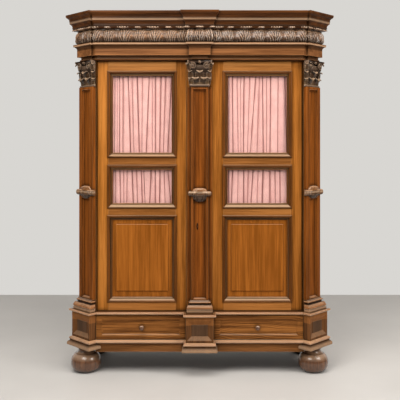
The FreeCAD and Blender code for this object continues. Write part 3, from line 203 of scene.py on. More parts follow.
def wood(name, grain, light, dark, seed, heart=0.0, rings=0.06, shade_and_wax=0.8, wear_and_sheen=0.25, shine=0.36,
         mottle=0.5, glow=0.06, coat=0.0, spread=0.022, top_highlight=0.35, carved=0.0, bands=()):
    """Waxed wood with its grain along one axis; light and dark are its screen colours.

    With a, b across the grain and c along it, the ring distance is
    d = sqrt((|a| - heart)^2 + (0.09 + b + 0.05 c)^2) plus slow noise, and the ring tone is
    rings * sin(2 pi d / RING_WIDTH). Tone adds fibres, mottle and pores to it, and picks a colour
    from dark to light. Then come, in this order:
    - dark waxing and painted shade in corners, by shade_and_wax * (1 - openness^2), where openness
      is looked for within spread metres, and less of it on slopes that face up, where light falls;
    - paler thin arrises, partly worn and partly a painted highlight, by 1.8 * wear_and_sheen, more
      where they face up;
    - painted shade on level upper faces, by half of shade_and_wax, and a painted highlight on open
      slopes that face up, by top_highlight;
    - bands of (low mm, high mm, share, colour), which paint light and shade along one height;
    - on carving, painted shade in the hollows and a painted highlight on the ridges, by carved,
      from the bend of the mesh.
    shine is the roughness, glow the reflection of the wood and coat that of the waxed finish over
    it."""
    net = Net(name)
    axes = net.add("ShaderNodeSeparateXYZ", {0: net.place()}).outputs
    a, b, c = (axes[k] for k in AXES[grain])
    height = axes[2]

    def fibres(across, along, detail, shift=0.0):
        """Noise drawn out with the grain: across and along are cycles per metre."""
        parts = {0: net.math("MULTIPLY_ADD", a, across, seed + shift),
                 1: net.math("MULTIPLY_ADD", b, across, seed * 1.7),
                 2: net.math("MULTIPLY_ADD", c, along, seed * 0.6)}
        drawn_out = net.add("ShaderNodeCombineXYZ", parts).outputs[0]
        return net.noise(drawn_out, 1.0, detail, 0.6)

    slow = fibres(5.0, 1.3, 2.0, 3.0)
    middle = fibres(38.0, 1.6, 3.0)
    fine = fibres(210.0, 5.0, 3.0)
    pores = net.math("LESS_THAN", fibres(620.0, 18.0, 1.0, 5.0), 0.36)
    wander = net.math("MULTIPLY_ADD", slow, 0.09, -0.045)
    da = net.math("ADD", net.math("SUBTRACT", net.math("ABSOLUTE", a), heart), wander)
    db = net.math("ADD", net.math("MULTIPLY_ADD", c, 0.05, 0.09), net.math("ADD", b, wander))
    squares = net.math("ADD", net.math("MULTIPLY", da, da), net.math("MULTIPLY", db, db))
    rounds = net.math("MULTIPLY", net.math("SQRT", squares), 2 * np.pi / RING_WIDTH)
    tone = 0.5
    for layer, share in ((slow, mottle), (middle, 2.0), (fine, 1.3)):
        tone = net.math("MULTIPLY_ADD", net.math("SUBTRACT", layer, 0.5), share, tone)
    tone = net.math("MULTIPLY_ADD", net.math("SINE", rounds), rings, tone)
    tone = net.math("MULTIPLY_ADD", pores, -0.14, tone)
    colour = net.ramp(tone, ((0.18, rgb(*dark)), (0.86, rgb(*light))))

    surface = net.add("ShaderNodeNewGeometry").outputs
    upward = net.add("ShaderNodeSeparateXYZ", {0: surface["Normal"]}).outputs[2]
    slope = net.math(
        "MULTIPLY", net.remap(upward, 0.25, 0.6, 0.0, 1.0), net.remap(upward, 0.85, 1.0, 1.0, 0.0))
    # Painted shade with dark wax: corners that light hardly reaches grow darker, less so on slopes
    # that face up.
    corner = net.openness(spread, 6)
    left = net.math("MULTIPLY_ADD", slope, -0.65 * shade_and_wax, shade_and_wax)
    hidden = net.math("SUBTRACT", 1.0, net.math("POWER", corner, 2.0))
    colour = net.mix(net.math("MULTIPLY", hidden, left), colour, WAX_AND_SHADE)
    # Thin arrises grow paler, partly as wear and partly as a painted highlight, more where they
    # face up.
    rim = net.openness(THIN, 4, inside=True, only_local=True)
    upward_weight = net.math("MULTIPLY_ADD", upward, 0.6, 0.55)
    worn_and_lit = net.math("MULTIPLY", net.math("SUBTRACT", 1.0, rim), wear_and_sheen * 1.8)
    worn_and_lit = net.add("ShaderNodeClamp", {0: net.math("MULTIPLY", worn_and_lit, upward_weight)}).outputs[0]
    colour = net.mix(worn_and_lit, colour, WORN_ARRIS_AND_HIGHLIGHT)
    # Painted shade on level top faces.
    colour = net.mix(net.remap(upward, 0.93, 0.99, 0.0, 0.5 * shade_and_wax), colour, WAX_AND_SHADE)
    # Painted highlight on open slopes that face up.
    ledge_highlight = net.math("MULTIPLY", slope, net.math("MULTIPLY", corner, top_highlight))
    colour = net.mix(ledge_highlight, colour, PAINTED_HIGHLIGHT)
    # Bands paint light and shade along one height.
    for low, high, share, tint in bands:
        over = net.remap(height, low * MM - BAND_EDGE, low * MM + BAND_EDGE, 0.0, share)
        below = net.remap(height, high * MM - BAND_EDGE, high * MM + BAND_EDGE, 1.0, 0.0)
        colour = net.mix(net.math("MULTIPLY", over, below), colour, tint)
    # Carving: painted shade in the hollows and a painted highlight on the ridges.
    if carved:
        bend = surface["Pointiness"]
        colour = net.mix(net.remap(bend, 0.435, 0.499, carved, 0.0), colour, WAX_AND_SHADE)
        colour = net.mix(net.remap(bend, 0.512, 0.60, 0.0, carved * 0.8), colour, CARVED_RIDGE_HIGHLIGHT)

    soft = net.add("ShaderNodeBevel", {"Radius": ARRIS}, samples=3).outputs[0]
    relief = net.math("MULTIPLY_ADD", pores, -0.8, fine)
    rough = net.math("MULTIPLY_ADD", middle, 0.2, shine - 0.06)
    return net.finish(net.skin(colour, rough, {
        "Normal": net.bump(relief, 0.16, 0.0015, Normal=soft), "Specular IOR Level": glow,
        "Coat Weight": coat, "Coat Roughness": 0.16}))


print("a wood is ready to mix for", len(AXES), "directions of grain")

# %% [markdown]
# The boards come from several trees, so each part of the front has its own tone, and the darker
# board on the right door's outer stile also paints the shade of that side. An upright's heart lies
# far to the side, and its grain runs nearly straight. Rails and drawer fronts are cut near the
# heart and show arches. The inside is pine, left bare.

# %% Woods of the boards
# Painted light along the top rails, just below the architrave.
PAINTED_RAIL_LIGHT = rgb(226, 158, 88)

oak_up = wood("oak_upright", "Z", (188, 120, 52), (140, 84, 28), 0.0, heart=0.9)
# A darker upright; on the right door's outer stile it also paints the shade of that side.
oak_up_2 = wood("oak_upright_second", "Z", (168, 104, 42), (120, 70, 22), 3.1, heart=0.9)
# Its bands paint light on the top rails, paint shade on the middle rails and lighten the bottom
# rails.
oak_across = wood(
    "oak_across", "X", (172, 112, 56), (122, 74, 32), 1.3, shade_and_wax=0.4, spread=0.012, bands=(
        (1836, 1894, 0.15, PAINTED_RAIL_LIGHT), (1872, 1900, 0.3, PAINTED_RAIL_LIGHT),
        (1262, 1312, 0.3, rgb(104, 62, 28)), (378, 432, 0.3, rgb(214, 140, 70))))
# The fascia is darker as painted shade under the frieze, and its bands paint shade in its hollow,
# under the frieze and along its foot, and a highlight on its bead.
oak_fascia = wood(
    "oak_fascia", "X", (143, 94, 56), (99, 61, 33), 2.9, shade_and_wax=0.9, wear_and_sheen=0.3, bands=(
        (1967, 1991, 0.6, WAX_AND_SHADE), (1906, 1920, 0.5, WAX_AND_SHADE), (1898, 1902, 0.6, WAX_AND_SHADE),
        (1992, 2001, 0.45, PAINTED_HIGHLIGHT), (2002, 2008, 0.8, WAX_AND_SHADE)))
oak_side = wood("oak_side", "Z", (150, 94, 40), (104, 60, 22), 2.3, heart=0.9, rings=0.08)
oak_low = wood("oak_low", "X", (147, 96, 53), (99, 63, 33), 3.9, rings=0.1)
oak_panel = wood("oak_panel", "Z", (166, 98, 34), (128, 72, 20), 5.2, heart=0.8)
oak_drawer = wood("oak_drawer", "X", (164, 106, 52), (92, 54, 24), 4.4, rings=0.2)
pine = wood(
    "pine_inside", "X", (150, 106, 62), (106, 70, 38), 11.0, rings=0.2, shade_and_wax=0.6, wear_and_sheen=0.1,
    shine=0.6)
# The bottom board is painted dark, as shade under the case.
oak_under = wood(
    "oak_under", "X", (62, 42, 26), (38, 26, 16), 12.0, rings=0.1, shade_and_wax=0.6, wear_and_sheen=0.1, shine=0.6)
print("woods of the boards ready")

# %% [markdown]
# Pilasters and pedestals are darker than the doors between them and carry more dark wax and
# painted shade in their corners. They are handled less, so their arrises are hardly worn.

# %% Woods of the pilasters and pedestals
oak_corner = wood(
    "oak_corner", "Z", (152, 85, 30), (103, 55, 17), 6.4, heart=1.2, rings=0.05, shade_and_wax=1.0)
oak_pilaster = wood(
    "oak_pilaster", "Z", (144, 79, 26), (96, 50, 14), 6.1, heart=1.2, rings=0.05, shade_and_wax=1.0)
# Its bands lighten the tops of the dies, paint shade under the upper tier and a highlight on the
# lower tier.
oak_die = wood(
    "oak_die", "Z", (122, 80, 46), (82, 52, 30), 6.8, heart=0.2, rings=0.08, shade_and_wax=0.9, wear_and_sheen=0.15,
    bands=((312, 362, 0.3, rgb(196, 126, 66)), (175, 187, 0.6, WAX_AND_SHADE), (155, 172, 0.4, PAINTED_HIGHLIGHT)))
oak_field = wood(
    "oak_field", "Z", (84, 58, 42), (56, 38, 28), 6.2, heart=0.2, rings=0.08, shade_and_wax=0.9, wear_and_sheen=0.1)
print("woods of the pilasters and pedestals ready")

# %% [markdown]
# Mouldings are dusted and waxed along their length, and carry painted light and shade. Their
# slopes that face up get painted highlights and their hollows painted shade, which is what makes a
# moulding read from across a room. Those streaks are bands by height. The lower mouldings get the
# brightest painted highlights, on their slopes that face up.

# %% Woods of the mouldings
# Its bands paint shade on the top mouldings and just under the bottom ones, and highlights on the
# bottom mouldings.
oak_trim = wood(
    "oak_trim", "X", (126, 76, 36), (76, 43, 18), 7.2, rings=0.04, shade_and_wax=1.2, wear_and_sheen=0.5, shine=0.3,
    mottle=0.4, glow=0.1, spread=0.012, bands=(
        (1792, 1812, 0.35, WAX_AND_SHADE), (1318, 1336, 0.3, PAINTED_HIGHLIGHT), (1308, 1316, 0.6, WAX_AND_SHADE),
        (1184, 1200, 0.35, WAX_AND_SHADE), (1008, 1024, 0.5, PAINTED_HIGHLIGHT), (998, 1006, 0.6, WAX_AND_SHADE),
        (925, 945, 0.4, WAX_AND_SHADE), (440, 456, 0.45, PAINTED_HIGHLIGHT)))
oak_trim_up = wood(
    "oak_trim_upright", "Z", (122, 70, 26), (76, 42, 14), 7.4, heart=0.9, rings=0.04, shade_and_wax=1.0,
    wear_and_sheen=0.15, shine=0.3, mottle=0.4, glow=0.08, spread=0.010)
# Its bands paint a highlight on the cap and the tier moulding, and a dark line of shade along the
# top of the cap.
oak_base_trim = wood(
    "oak_base_trim", "X", (184, 132, 94), (140, 92, 58), 7.9, rings=0.04, shade_and_wax=1.0, wear_and_sheen=0.8,
    shine=0.25, mottle=0.4, glow=0.3, coat=0.1, spread=0.014, bands=(
        (360, 369, 0.9, PAINTED_HIGHLIGHT), (375, 378, 0.2, WAX_AND_SHADE), (189, 198, 0.5, PAINTED_HIGHLIGHT)))
# Its bands paint a highlight on the block face, and shade in the undercut and the hollow.
oak_plinth = wood(
    "oak_plinth", "X", (160, 104, 60), (110, 66, 32), 7.1, rings=0.04, shade_and_wax=1.0, wear_and_sheen=0.5,
    shine=0.25, mottle=0.4, glow=0.3, coat=0.1, spread=0.014, bands=(
        (379, 399, 0.4, PAINTED_HIGHLIGHT), (419, 431, 0.8, WAX_AND_SHADE), (438, 447, 0.6, WAX_AND_SHADE)))
# The crown's dark colour is partly painted shade, as its hollow faces down; its bands paint shade
# under it and above the drip, and a highlight on the drip.
oak_crown = wood(
    "oak_crown", "X", (98, 56, 24), (56, 30, 12), 7.7, shade_and_wax=1.0, wear_and_sheen=0.1, shine=0.3, mottle=0.4,
    glow=0.1, top_highlight=0.0, bands=(
        (2086, 2112, 0.5, WAX_AND_SHADE), (2134, 2147, 0.3, PAINTED_HIGHLIGHT), (2148, 2158, 0.3, WAX_AND_SHADE)))
print("woods of the mouldings ready")

# %% [markdown]
# Carving holds the most dark wax and painted shade, and its ridges shine with gloss and a painted
# highlight. The turned feet are polished by dusting.

# %% Woods of the carving and the feet
# Its bands paint shade on the lower belly of the leaves, which faces down.
oak_frieze = wood(
    "oak_frieze", "X", (150, 108, 76), (74, 46, 28), 8.3, rings=0.03, shade_and_wax=1.0, wear_and_sheen=0.4,
    shine=0.2, glow=0.5, coat=0.4, spread=0.012, carved=0.95, bands=(
        (2000, 2018, 1.0, WAX_AND_SHADE), (2014, 2028, 0.7, WAX_AND_SHADE), (2024, 2040, 0.45, WAX_AND_SHADE)))
# Painted shade in the hollows of the capitals and a painted highlight on their ridges.
oak_carved = wood(
    "oak_carved", "X", (66, 39, 22), (30, 16, 9), 8.9, rings=0.03, shade_and_wax=1.0, wear_and_sheen=0.2, shine=0.24,
    glow=0.3, coat=0.1, spread=0.02, carved=0.5)
# Its bands paint light on the dome, a highlight on the belt and shade on the bowl below it.
oak_boss = wood(
    "oak_boss", "X", (132, 90, 56), (80, 50, 28), 8.1, rings=0.03, shade_and_wax=1.0, wear_and_sheen=0.3, shine=0.24,
    glow=0.4, coat=0.25, spread=0.014, carved=0.6, bands=(
        (1108, 1140, 0.2, rgb(206, 136, 74)), (1095, 1105, 0.5, PAINTED_HIGHLIGHT),
        (1036, 1086, 0.75, WAX_AND_SHADE)))
oak_foot = wood(
    "oak_foot", "Z", (116, 78, 52), (86, 56, 38), 9.9, heart=0.7, rings=0.04, shade_and_wax=0.9, wear_and_sheen=0.05,
    shine=0.18, mottle=0.7, glow=0.4, coat=0.6)
print("woods of the carving and the feet ready")

# %% [markdown]
# ## Iron, glass and cloth
# The bolts and the keyhole plate are iron, mottled by rust that was oiled. The panes are old glass,
# faintly wavy. A true glass shader would bend and darken what lies behind, and needs many light
# paths. A thin pane hardly bends anything, so it is made of clear and mirror shares instead. The
# curtains are pink cotton. A little light comes through them, and painted shade darkens the
# insides of their folds.

# %% Iron, glass, cloth


def iron_material(name, dark, pale):
    """Worn iron: two greys mottled by noise, and rougher where it is paler."""
    net = Net(name)
    mottle = net.noise(net.place(), 120.0, 4.0)
    colour = net.ramp(mottle, ((0.3, dark), (0.75, pale)))
    rough = net.math("MULTIPLY_ADD", mottle, 0.3, 0.3)
    return net.finish(net.skin(colour, rough, {"Metallic": 0.9}))


def glass_material():
    """A clear thin pane: clear and reflecting shares in a fixed proportion, faintly wavy."""
    net = Net("old_glass")
    bump = net.bump(net.noise(net.place(), 9.0, 1.0), 0.05, 0.01)
    clear = net.add("ShaderNodeBsdfTransparent", {"Color": (0.985, 0.985, 0.98, 1.0)}).outputs[0]
    gloss = net.add("ShaderNodeBsdfGlossy", {"Roughness": 0.04, "Normal": bump}).outputs[0]
    blend = net.add("ShaderNodeMixShader", {0: 0.03, 1: clear, 2: gloss})
    return net.finish(blend.outputs[0])


def cloth_material():
    """Thin cotton. Warp and weft are sin(5200 u) * sin(5200 v) on the sheet's own UV map, and the
    inside of a fold is painted in shade, darker by 1 - openness^2.2."""
    threads = 5200.0
    net = Net("pink_cotton")
    flat = net.add("ShaderNodeUVMap").outputs[0]
    u, v = net.add("ShaderNodeSeparateXYZ", {0: flat}).outputs[:2]
    warp = net.math("SINE", net.math("MULTIPLY", u, threads))
    weft = net.math("SINE", net.math("MULTIPLY", v, threads))
    colour = net.ramp(
        net.noise(flat, 14.0), ((0.3, rgb(240, 184, 180)), (0.7, rgb(252, 200, 195))))
    # Painted shade in the folds, where the cloth closes in.
    inside = net.math("POWER", net.openness(0.022, 8, only_local=True), 2.2)
    colour = net.mix(net.math("SUBTRACT", 1.0, inside), colour, rgb(150, 84, 76))
    bump = net.bump(net.math("MULTIPLY", warp, weft), 0.2, 0.0003)
    cloth = net.skin(colour, 0.9, {"Sheen Weight": 0.15, "Normal": bump})
    through = net.add("ShaderNodeBsdfTranslucent", {"Color": colour}).outputs[0]
    return net.finish(net.add("ShaderNodeMixShader", {0: 0.08, 1: cloth, 2: through}).outputs[0])


iron = iron_material("old_iron", rgb(62, 56, 50), rgb(128, 122, 114))
black_iron = iron_material("black_iron", rgb(18, 14, 11), rgb(58, 48, 40))
glass = glass_material()
cotton = cloth_material()
print("iron, glass and cloth ready")

# %% [markdown]
# ## Finish of the construction
# The boards are already there, at their real size, and only want a surface. A joiner runs the grain
# along the length of each board, so the choice of wood is also the choice of its direction. Every
# board is named once below, beside its wood. HAND stands for left and for right.

# %% Finish the boards
FINISHES = (
    (oak_under, "base_bottom"),
    (pine, "base_back drawer_runners case_floor case_back lower_shelf upper_shelf shelf_battens"),
    (pine, "case_top cornice_top HAND_drawer_box"),
    (oak_side, "base_left_side base_right_side"),
    (oak_die, "base_top centre_pedestal HAND_pedestal"),
    (oak_low, "apron"),
    (oak_base_trim, "base_tier_moulding base_cap_moulding"),
    (oak_up, "case_left_side case_right_side HAND_corner_post left_door_outer_stile"),
    # The right outer stile takes the darker upright, as painted shade on that side.
    (oak_up_2, "HAND_door_inner_stile right_door_outer_stile"),
    (oak_across, "HAND_door_rails"),
    (oak_panel, "HAND_door_panel"),
    (oak_trim, "HAND_door_mouldings"),
    (oak_drawer, "HAND_drawer_front"),
    (oak_fascia, "architrave"),
    (oak_frieze, "frieze"),
    (oak_crown, "cornice"),
    (oak_pilaster, "centre_pilaster HAND_pilaster"),
    (oak_carved, "centre_capital HAND_capital"),
    (oak_foot, "foot_front_HAND foot_rear_HAND HAND_drawer_knob"),
    (iron, "lock_bolt left_door_bolt HAND_door_fittings"),
    (glass, "HAND_door_glass"),
    (cotton, "HAND_door_curtains"),
)
finish_of = {}
for material, boards in FINISHES:
    for board in boards.split():
        for _, hand in HANDS:
            finish_of[board.replace("HAND", hand)] = material
for name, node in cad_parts.items():
    node.data.materials.clear()
    node.data.materials.append(finish_of[name])
print(len(finish_of), "boards finished")

# %% [markdown]
# ## Surfaces from formulas
# Everything carved, moulded or soft is made of grids of points. Such pieces could be sculpted or
# cut with booleans, but a formula gives even faces, sharp arrises where they belong, and a shape
# that can be changed by one number. `shell` joins grids into one object: each grid is a stack of
# rings, each ring is closed on itself, and both ends are closed.

# %% Joining rings of points


def shell(name, stacks, material, body, replaces=(), angle=50.0, maps=None, upright=None):
    """One object from stacks of rings.

    stacks is a list of arrays with shape (rings, points, 3), each with an even number of points.
    Quads join each ring to the next, and a ladder of quads closes each end, unless the last ring
    repeats the first. A stack whose enclosed volume comes out negative is turned round, so that
    all faces look outwards. maps, if given, holds a flat position for every point, and becomes
    the UV map. upright is a second material for every other side of rings of four points."""
    points, faces, kinds = [], [], []
    first = 0
    for stack in stacks:
        stack = np.asarray(stack, float)
        rings, count = stack.shape[:2]
        hoop = np.allclose(stack[0], stack[-1])
        rows = np.arange(rings - 1)[:, None] * count
        here = np.arange(count)[None, :]
        after = np.roll(np.arange(count), -1)[None, :]
        quads = np.stack(
            [rows + here, rows + after, rows + count + after, rows + count + here], -1
        ).reshape(-1, 4)
        kind = (quads[:, 0] % count) % 2
        if hoop:
            quads %= (rings - 1) * count
            stack = stack[:-1]
        else:
            rung = np.arange(count // 2 - 1)
            ladder = np.stack([rung, count - 1 - rung, count - 2 - rung, rung + 1], -1)
            quads = np.concatenate([quads, ladder, ladder[:, ::-1] + (rings - 1) * count])
            kind = np.concatenate([kind, np.zeros(2 * len(rung), int)])
        kinds.append(kind)
        flat = stack.reshape(-1, 3)
        corner = flat[quads] - flat.mean(0)
        half_1 = np.cross(corner[:, 1], corner[:, 2])
        half_2 = np.cross(corner[:, 2], corner[:, 3])
        if (corner[:, 0] * (half_1 + half_2)).sum() < 0:
            quads = quads[:, ::-1]
        faces.append(quads + first)
        points.append(flat)
        first += len(flat)
    points, faces = np.concatenate(points), np.concatenate(faces)
    mesh = bpy.data.meshes.new(name)
    mesh.vertices.add(len(points))
    mesh.vertices.foreach_set("co", points.ravel().astype(np.float32))
    mesh.loops.add(faces.size)
    mesh.loops.foreach_set("vertex_index", faces.ravel().astype(np.int32))
    mesh.polygons.add(len(faces))
    mesh.polygons.foreach_set("loop_start", np.arange(len(faces), dtype=np.int32) * 4)
    mesh.update(calc_edges=True)
    if maps is not None:
        layer = mesh.uv_layers.new(name="UVMap")
        flat_map = np.concatenate([one.reshape(-1, 2) for one in maps])[faces.ravel()]
        layer.data.foreach_set("uv", flat_map.ravel().astype(np.float32))
    mesh.shade_smooth()
    mesh.set_sharp_from_angle(angle=np.radians(angle))
    mesh.materials.append(material)
    if upright is not None:
        mesh.materials.append(upright)
        mesh.polygons.foreach_set("material_index", np.concatenate(kinds).astype(np.int32))
    item = bpy.data.objects.new(name, mesh)
    scene.collection.objects.link(item)
    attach(item, body)
    if replaces:
        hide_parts(*replaces)
    return item


def triangles(item):
    """How many triangles an object has."""
    return sum(len(face.vertices) - 2 for face in item.data.polygons)


def smooth(value, low, high):
    """0 below low, 1 above high, and the cubic 3t^2 - 2t^3 between."""
    t = np.clip((value - low) / (high - low), 0.0, 1.0)
    return t * t * (3.0 - 2.0 * t)


def bell(value, middle, width):
    """A bump of height 1: exp(-((value - middle) / width)^2)."""
    return np.exp(-(((value - middle) / width) ** 2))


print("half way:", smooth(0.5, 0.0, 1.0), "and", round(float(bell(0.5, 0.0, 1.0)), 3))

# %% [markdown]
# ## Carved frieze
# The frieze follows the plan of the entablature: forward over the middle pilaster, back along the
# doors, out round the canted corners, and along the sides. A point of it is found in two steps.
# First its place along the plan and its height give how far it stands out. Then it is moved out
# from the plan by that much, square to the run, and along the mitre at a corner. So a single
# surface turns every corner, and no joint shows.

# %% Plan of the frieze
HALF_PLAN = np.array([
    (65.0, -2.0), (65.0, 18.0),  # side of the break over the middle pilaster
    (627.98, 18.0), (649.49, 39.51),  # front, and the return to the corner block
    (659.0, 30.0), (760.0, 131.0),  # canted face of the corner block
    (741.0, 150.0), (741.0, 580.0),  # side
])
PLAN = np.concatenate([HALF_PLAN[::-1] * (-1.0, 1.0), HALF_PLAN])


def along_plan(plan, step):
    """Stations along a plan: for each, its corner pair, its share of the run and its length.

    The plan's own corners are always stations."""
    run = np.diff(plan, axis=0)
    length = np.hypot(run[:, 0], run[:, 1])
    reach = np.concatenate([[0.0], np.cumsum(length)])
    index, share = [], []
    for k, one in enumerate(length):
        count = max(int(round(one / step)), 2)
        index.append(np.full(count, k))
        share.append(np.arange(count) / count)
    index = np.concatenate(index + [[len(length) - 1]])
    share = np.concatenate(share + [[1.0]])
    return index, share, reach[index] + share * length[index] - reach[-1] / 2


def mitres(plan):
    """At each corner, the move that shifts both runs outwards by 1: (n1 + n2) / (1 + n1.n2)."""
    run = np.diff(plan, axis=0)
    normal = np.stack([run[:, 1], -run[:, 0]], 1) / np.hypot(run[:, 0], run[:, 1])[:, None]
    before = np.concatenate([normal[:1], normal])
    after = np.concatenate([normal, normal[-1:]])
    return (before + after) / (1.0 + (before * after).sum(1))[:, None]


def swept(plan, step, heights, stand_out, inner):
    """Ring stack of a moulding: outer points stand out from the plan, inner points close it.

    stand_out(s, z) gives the distance from the plan; heights are in millimetres."""
    index, share, s = along_plan(plan, step)
    shift = mitres(plan)
    out = stand_out(s[:, None], heights[None, :])
    out = np.concatenate([out, np.full((len(s), 2), inner)], 1)
    z = np.concatenate([heights, heights[[-1, 0]]])
    start = plan[index][:, None, :] + out[:, :, None] * shift[index][:, None, :]
    end = plan[index + 1][:, None, :] + out[:, :, None] * shift[index + 1][:, None, :]
    flat = start + share[:, None, None] * (end - start)
    return np.stack(
        [flat[..., 0] * MM, depth(flat[..., 1]), np.broadcast_to(z * MM, flat.shape[:2])], -1
    )


print("plan of the frieze:", len(PLAN), "corners")

# %% [markdown]
# The carver set out broad leaves and cut narrow ones between them. Each leaf is a low dome with a
# midrib, a fan of lobes cut by slanting grooves, and a tip that rolls forward at the top. Modelled
# singly, the leaves would cut through each other. Here the relief is one height over the whole
# band, and where leaves overlap the higher one hides the lower one, so the band is the greatest of
# them all. The widths below are in millimetres along the plan, from the middle of the front.

# %% Carved frieze
LOW, HIGH = 2004.6, 2088.0
TIP_TOP = HIGH + 15.9
BAND_STEP, BAND_ROWS, BAND_BACK = 2.2, 54, -18.0
BROAD_LEAF, SMALL_LEAF, BREAK_LEAF = (47.0, 1.0), (38.0, 0.82), (33.0, 1.0)
BROAD_AT = [111.0, 286.0, 471.0, 655.0, 763.3, 906.0, 1088.0, 1270.0]
SMALL_AT = [0.0, 191.0, 379.0, 566.0, 705.0, 822.0, 997.0, 1179.0]
LEAVES = [(s, *BROAD_LEAF) for s in BROAD_AT] + [(s, *SMALL_LEAF) for s in SMALL_AT]
LEAVES += [(64.0, *BREAK_LEAF)]
LEAVES += [(-s, half, size) for s, half, size in LEAVES if s]


def leaf_height(x, t, half, size):
    """Relief of one leaf, in millimetres, at x across from its midrib and t up the band.

    dome = 1 - |x / W|^2.6, where W is the scalloped half width; grooves follow the lines
    2.2 t - 3 |x| / half = whole number; the midrib stands between two narrow cuts; the neck
    draws in below the tip; the roll is a bump at t = 1.09, scalloped on a broad leaf."""
    a = np.abs(x)
    lobes = t * 2.2 - a / half * 3.0
    edge = half * (0.82 + 0.18 * np.sin(np.pi * np.clip(t, 0, 1) * 0.9 + 0.3))
    edge = edge * (1.0 + 0.06 * np.cos(2 * np.pi * lobes)) * (1 - 0.25 * smooth(t, 0.8, 1.05))
    dome = np.clip(1.0 - (a / edge) ** 2.6, 0.0, 1.0)
    groove = np.abs(np.sin(np.pi * lobes)) ** 0.45
    depth_of_cut = 8.0 * smooth(a, 2.0, 0.3 * half)
    rib = 2.4 * bell(a, 0.0, 2.4) - 3.4 * bell(a, 5.4, 2.2)
    rise = 11.5 * dome ** 0.6 + (groove - 1.0) * depth_of_cut * dome ** 0.3 + rib * dome
    broad = half > 40.0
    reach = (0.92 if broad else 0.72) * half
    roll = 19.0 * bell(t, 1.09, 0.08) * np.clip(1 - (a / reach) ** 2, 0, 1) ** 0.4
    flutter = 1.0 + (0.30 if broad else 0.05) * np.cos(6 * np.pi * a / half)
    neck = (1 - 0.4 * bell(t, 0.96, 0.045)) * (1 - smooth(t, 1.04, 1.08))
    return np.where(dome > 0, size * rise * neck, 0.0) + (0.85 + 0.15 * size) * roll * flutter


def frieze_out(s, z):
    """Distance of the carved band from the plan: a full belly, with the leaves laid over it."""
    t = (z - LOW) / (HIGH - LOW)
    belly = 9.0 * np.sin(np.pi * np.clip(t / 0.95, 0, 1) ** 0.8) - 9.0 + 4.0 * (t < 0.03)
    ground = belly - 2.0 * smooth(t, 0.8, 0.9)
    relief = np.zeros(np.broadcast(s, z).shape)
    for centre, half, size in LEAVES:
        near = np.abs(s[:, 0] - centre) < half * 1.4
        if near.any():
            relief[near] = np.maximum(relief[near], leaf_height(s[near] - centre, t, half, size))
    fade = smooth(t, 0.0, 0.10) * (1 - smooth(t, 1.17, 1.19))
    lift = 15.0 * smooth(t, 0.97, 1.03) * (relief > 3.0)
    return np.clip(ground + (relief + lift) * fade, -10.0, 26.0)


band = swept(PLAN, BAND_STEP, np.linspace(LOW, TIP_TOP, BAND_ROWS), frieze_out, BAND_BACK)
frieze = shell("frieze_carved", [band], oak_frieze, "carcase", ["frieze"], 80.0)
print("frieze:", triangles(frieze), "triangles")

# %% [markdown]
# ## Capitals
# A capital crowns each pilaster. It has a flaring core, a bead at its foot, two rows of curling
# leaves, two spiral scrolls, and a hollow-sided slab on top. Each of these is a simple grid, and
# the grids may run into each other, as nobody sees inside. The capital is built facing the viewer
# in its own flat frame, in millimetres, with x across and y backwards, and then turned into place.
# The core and the bead are stacks of blocks with rounded front corners.

# %% Core of a capital


def ring_box(levels, segments=6):
    """A stack of rounded rectangles: each level is (z, half width, front, back, radius)."""
    rings = []
    for z, half, front, back, radius in levels:
        ring = []
        quarter = np.linspace(0, np.pi / 2, segments)
        for cx, cy, start in (
            (half - radius, front + radius, -np.pi / 2), (half - 0.1, back - 0.1, 0.0),
            (-half + 0.1, back - 0.1, np.pi / 2), (-half + radius, front + radius, np.pi),
        ):
            bend = radius if cy < back - 0.2 else 0.1
            ring.append(np.stack([
                cx + bend * np.cos(start + quarter), cy + bend * np.sin(start + quarter),
                np.full(segments, z)], 1))
        rings.append(np.concatenate(ring))
    return np.array(rings)


core_levels = [(0.0, 54.0, -32.0, -1.0, 4.0), (100.0, 61.0, -45.0, -1.0, 6.0)]
print("two levels of a core:", ring_box(core_levels).shape)

# %% [markdown]
# A leaf of a capital climbs close to the core and rolls over at its tip. It is a strip bent along
# a line and an arc, which follows real leaf work more closely than a flat relief would.

# %% Leaf of a capital


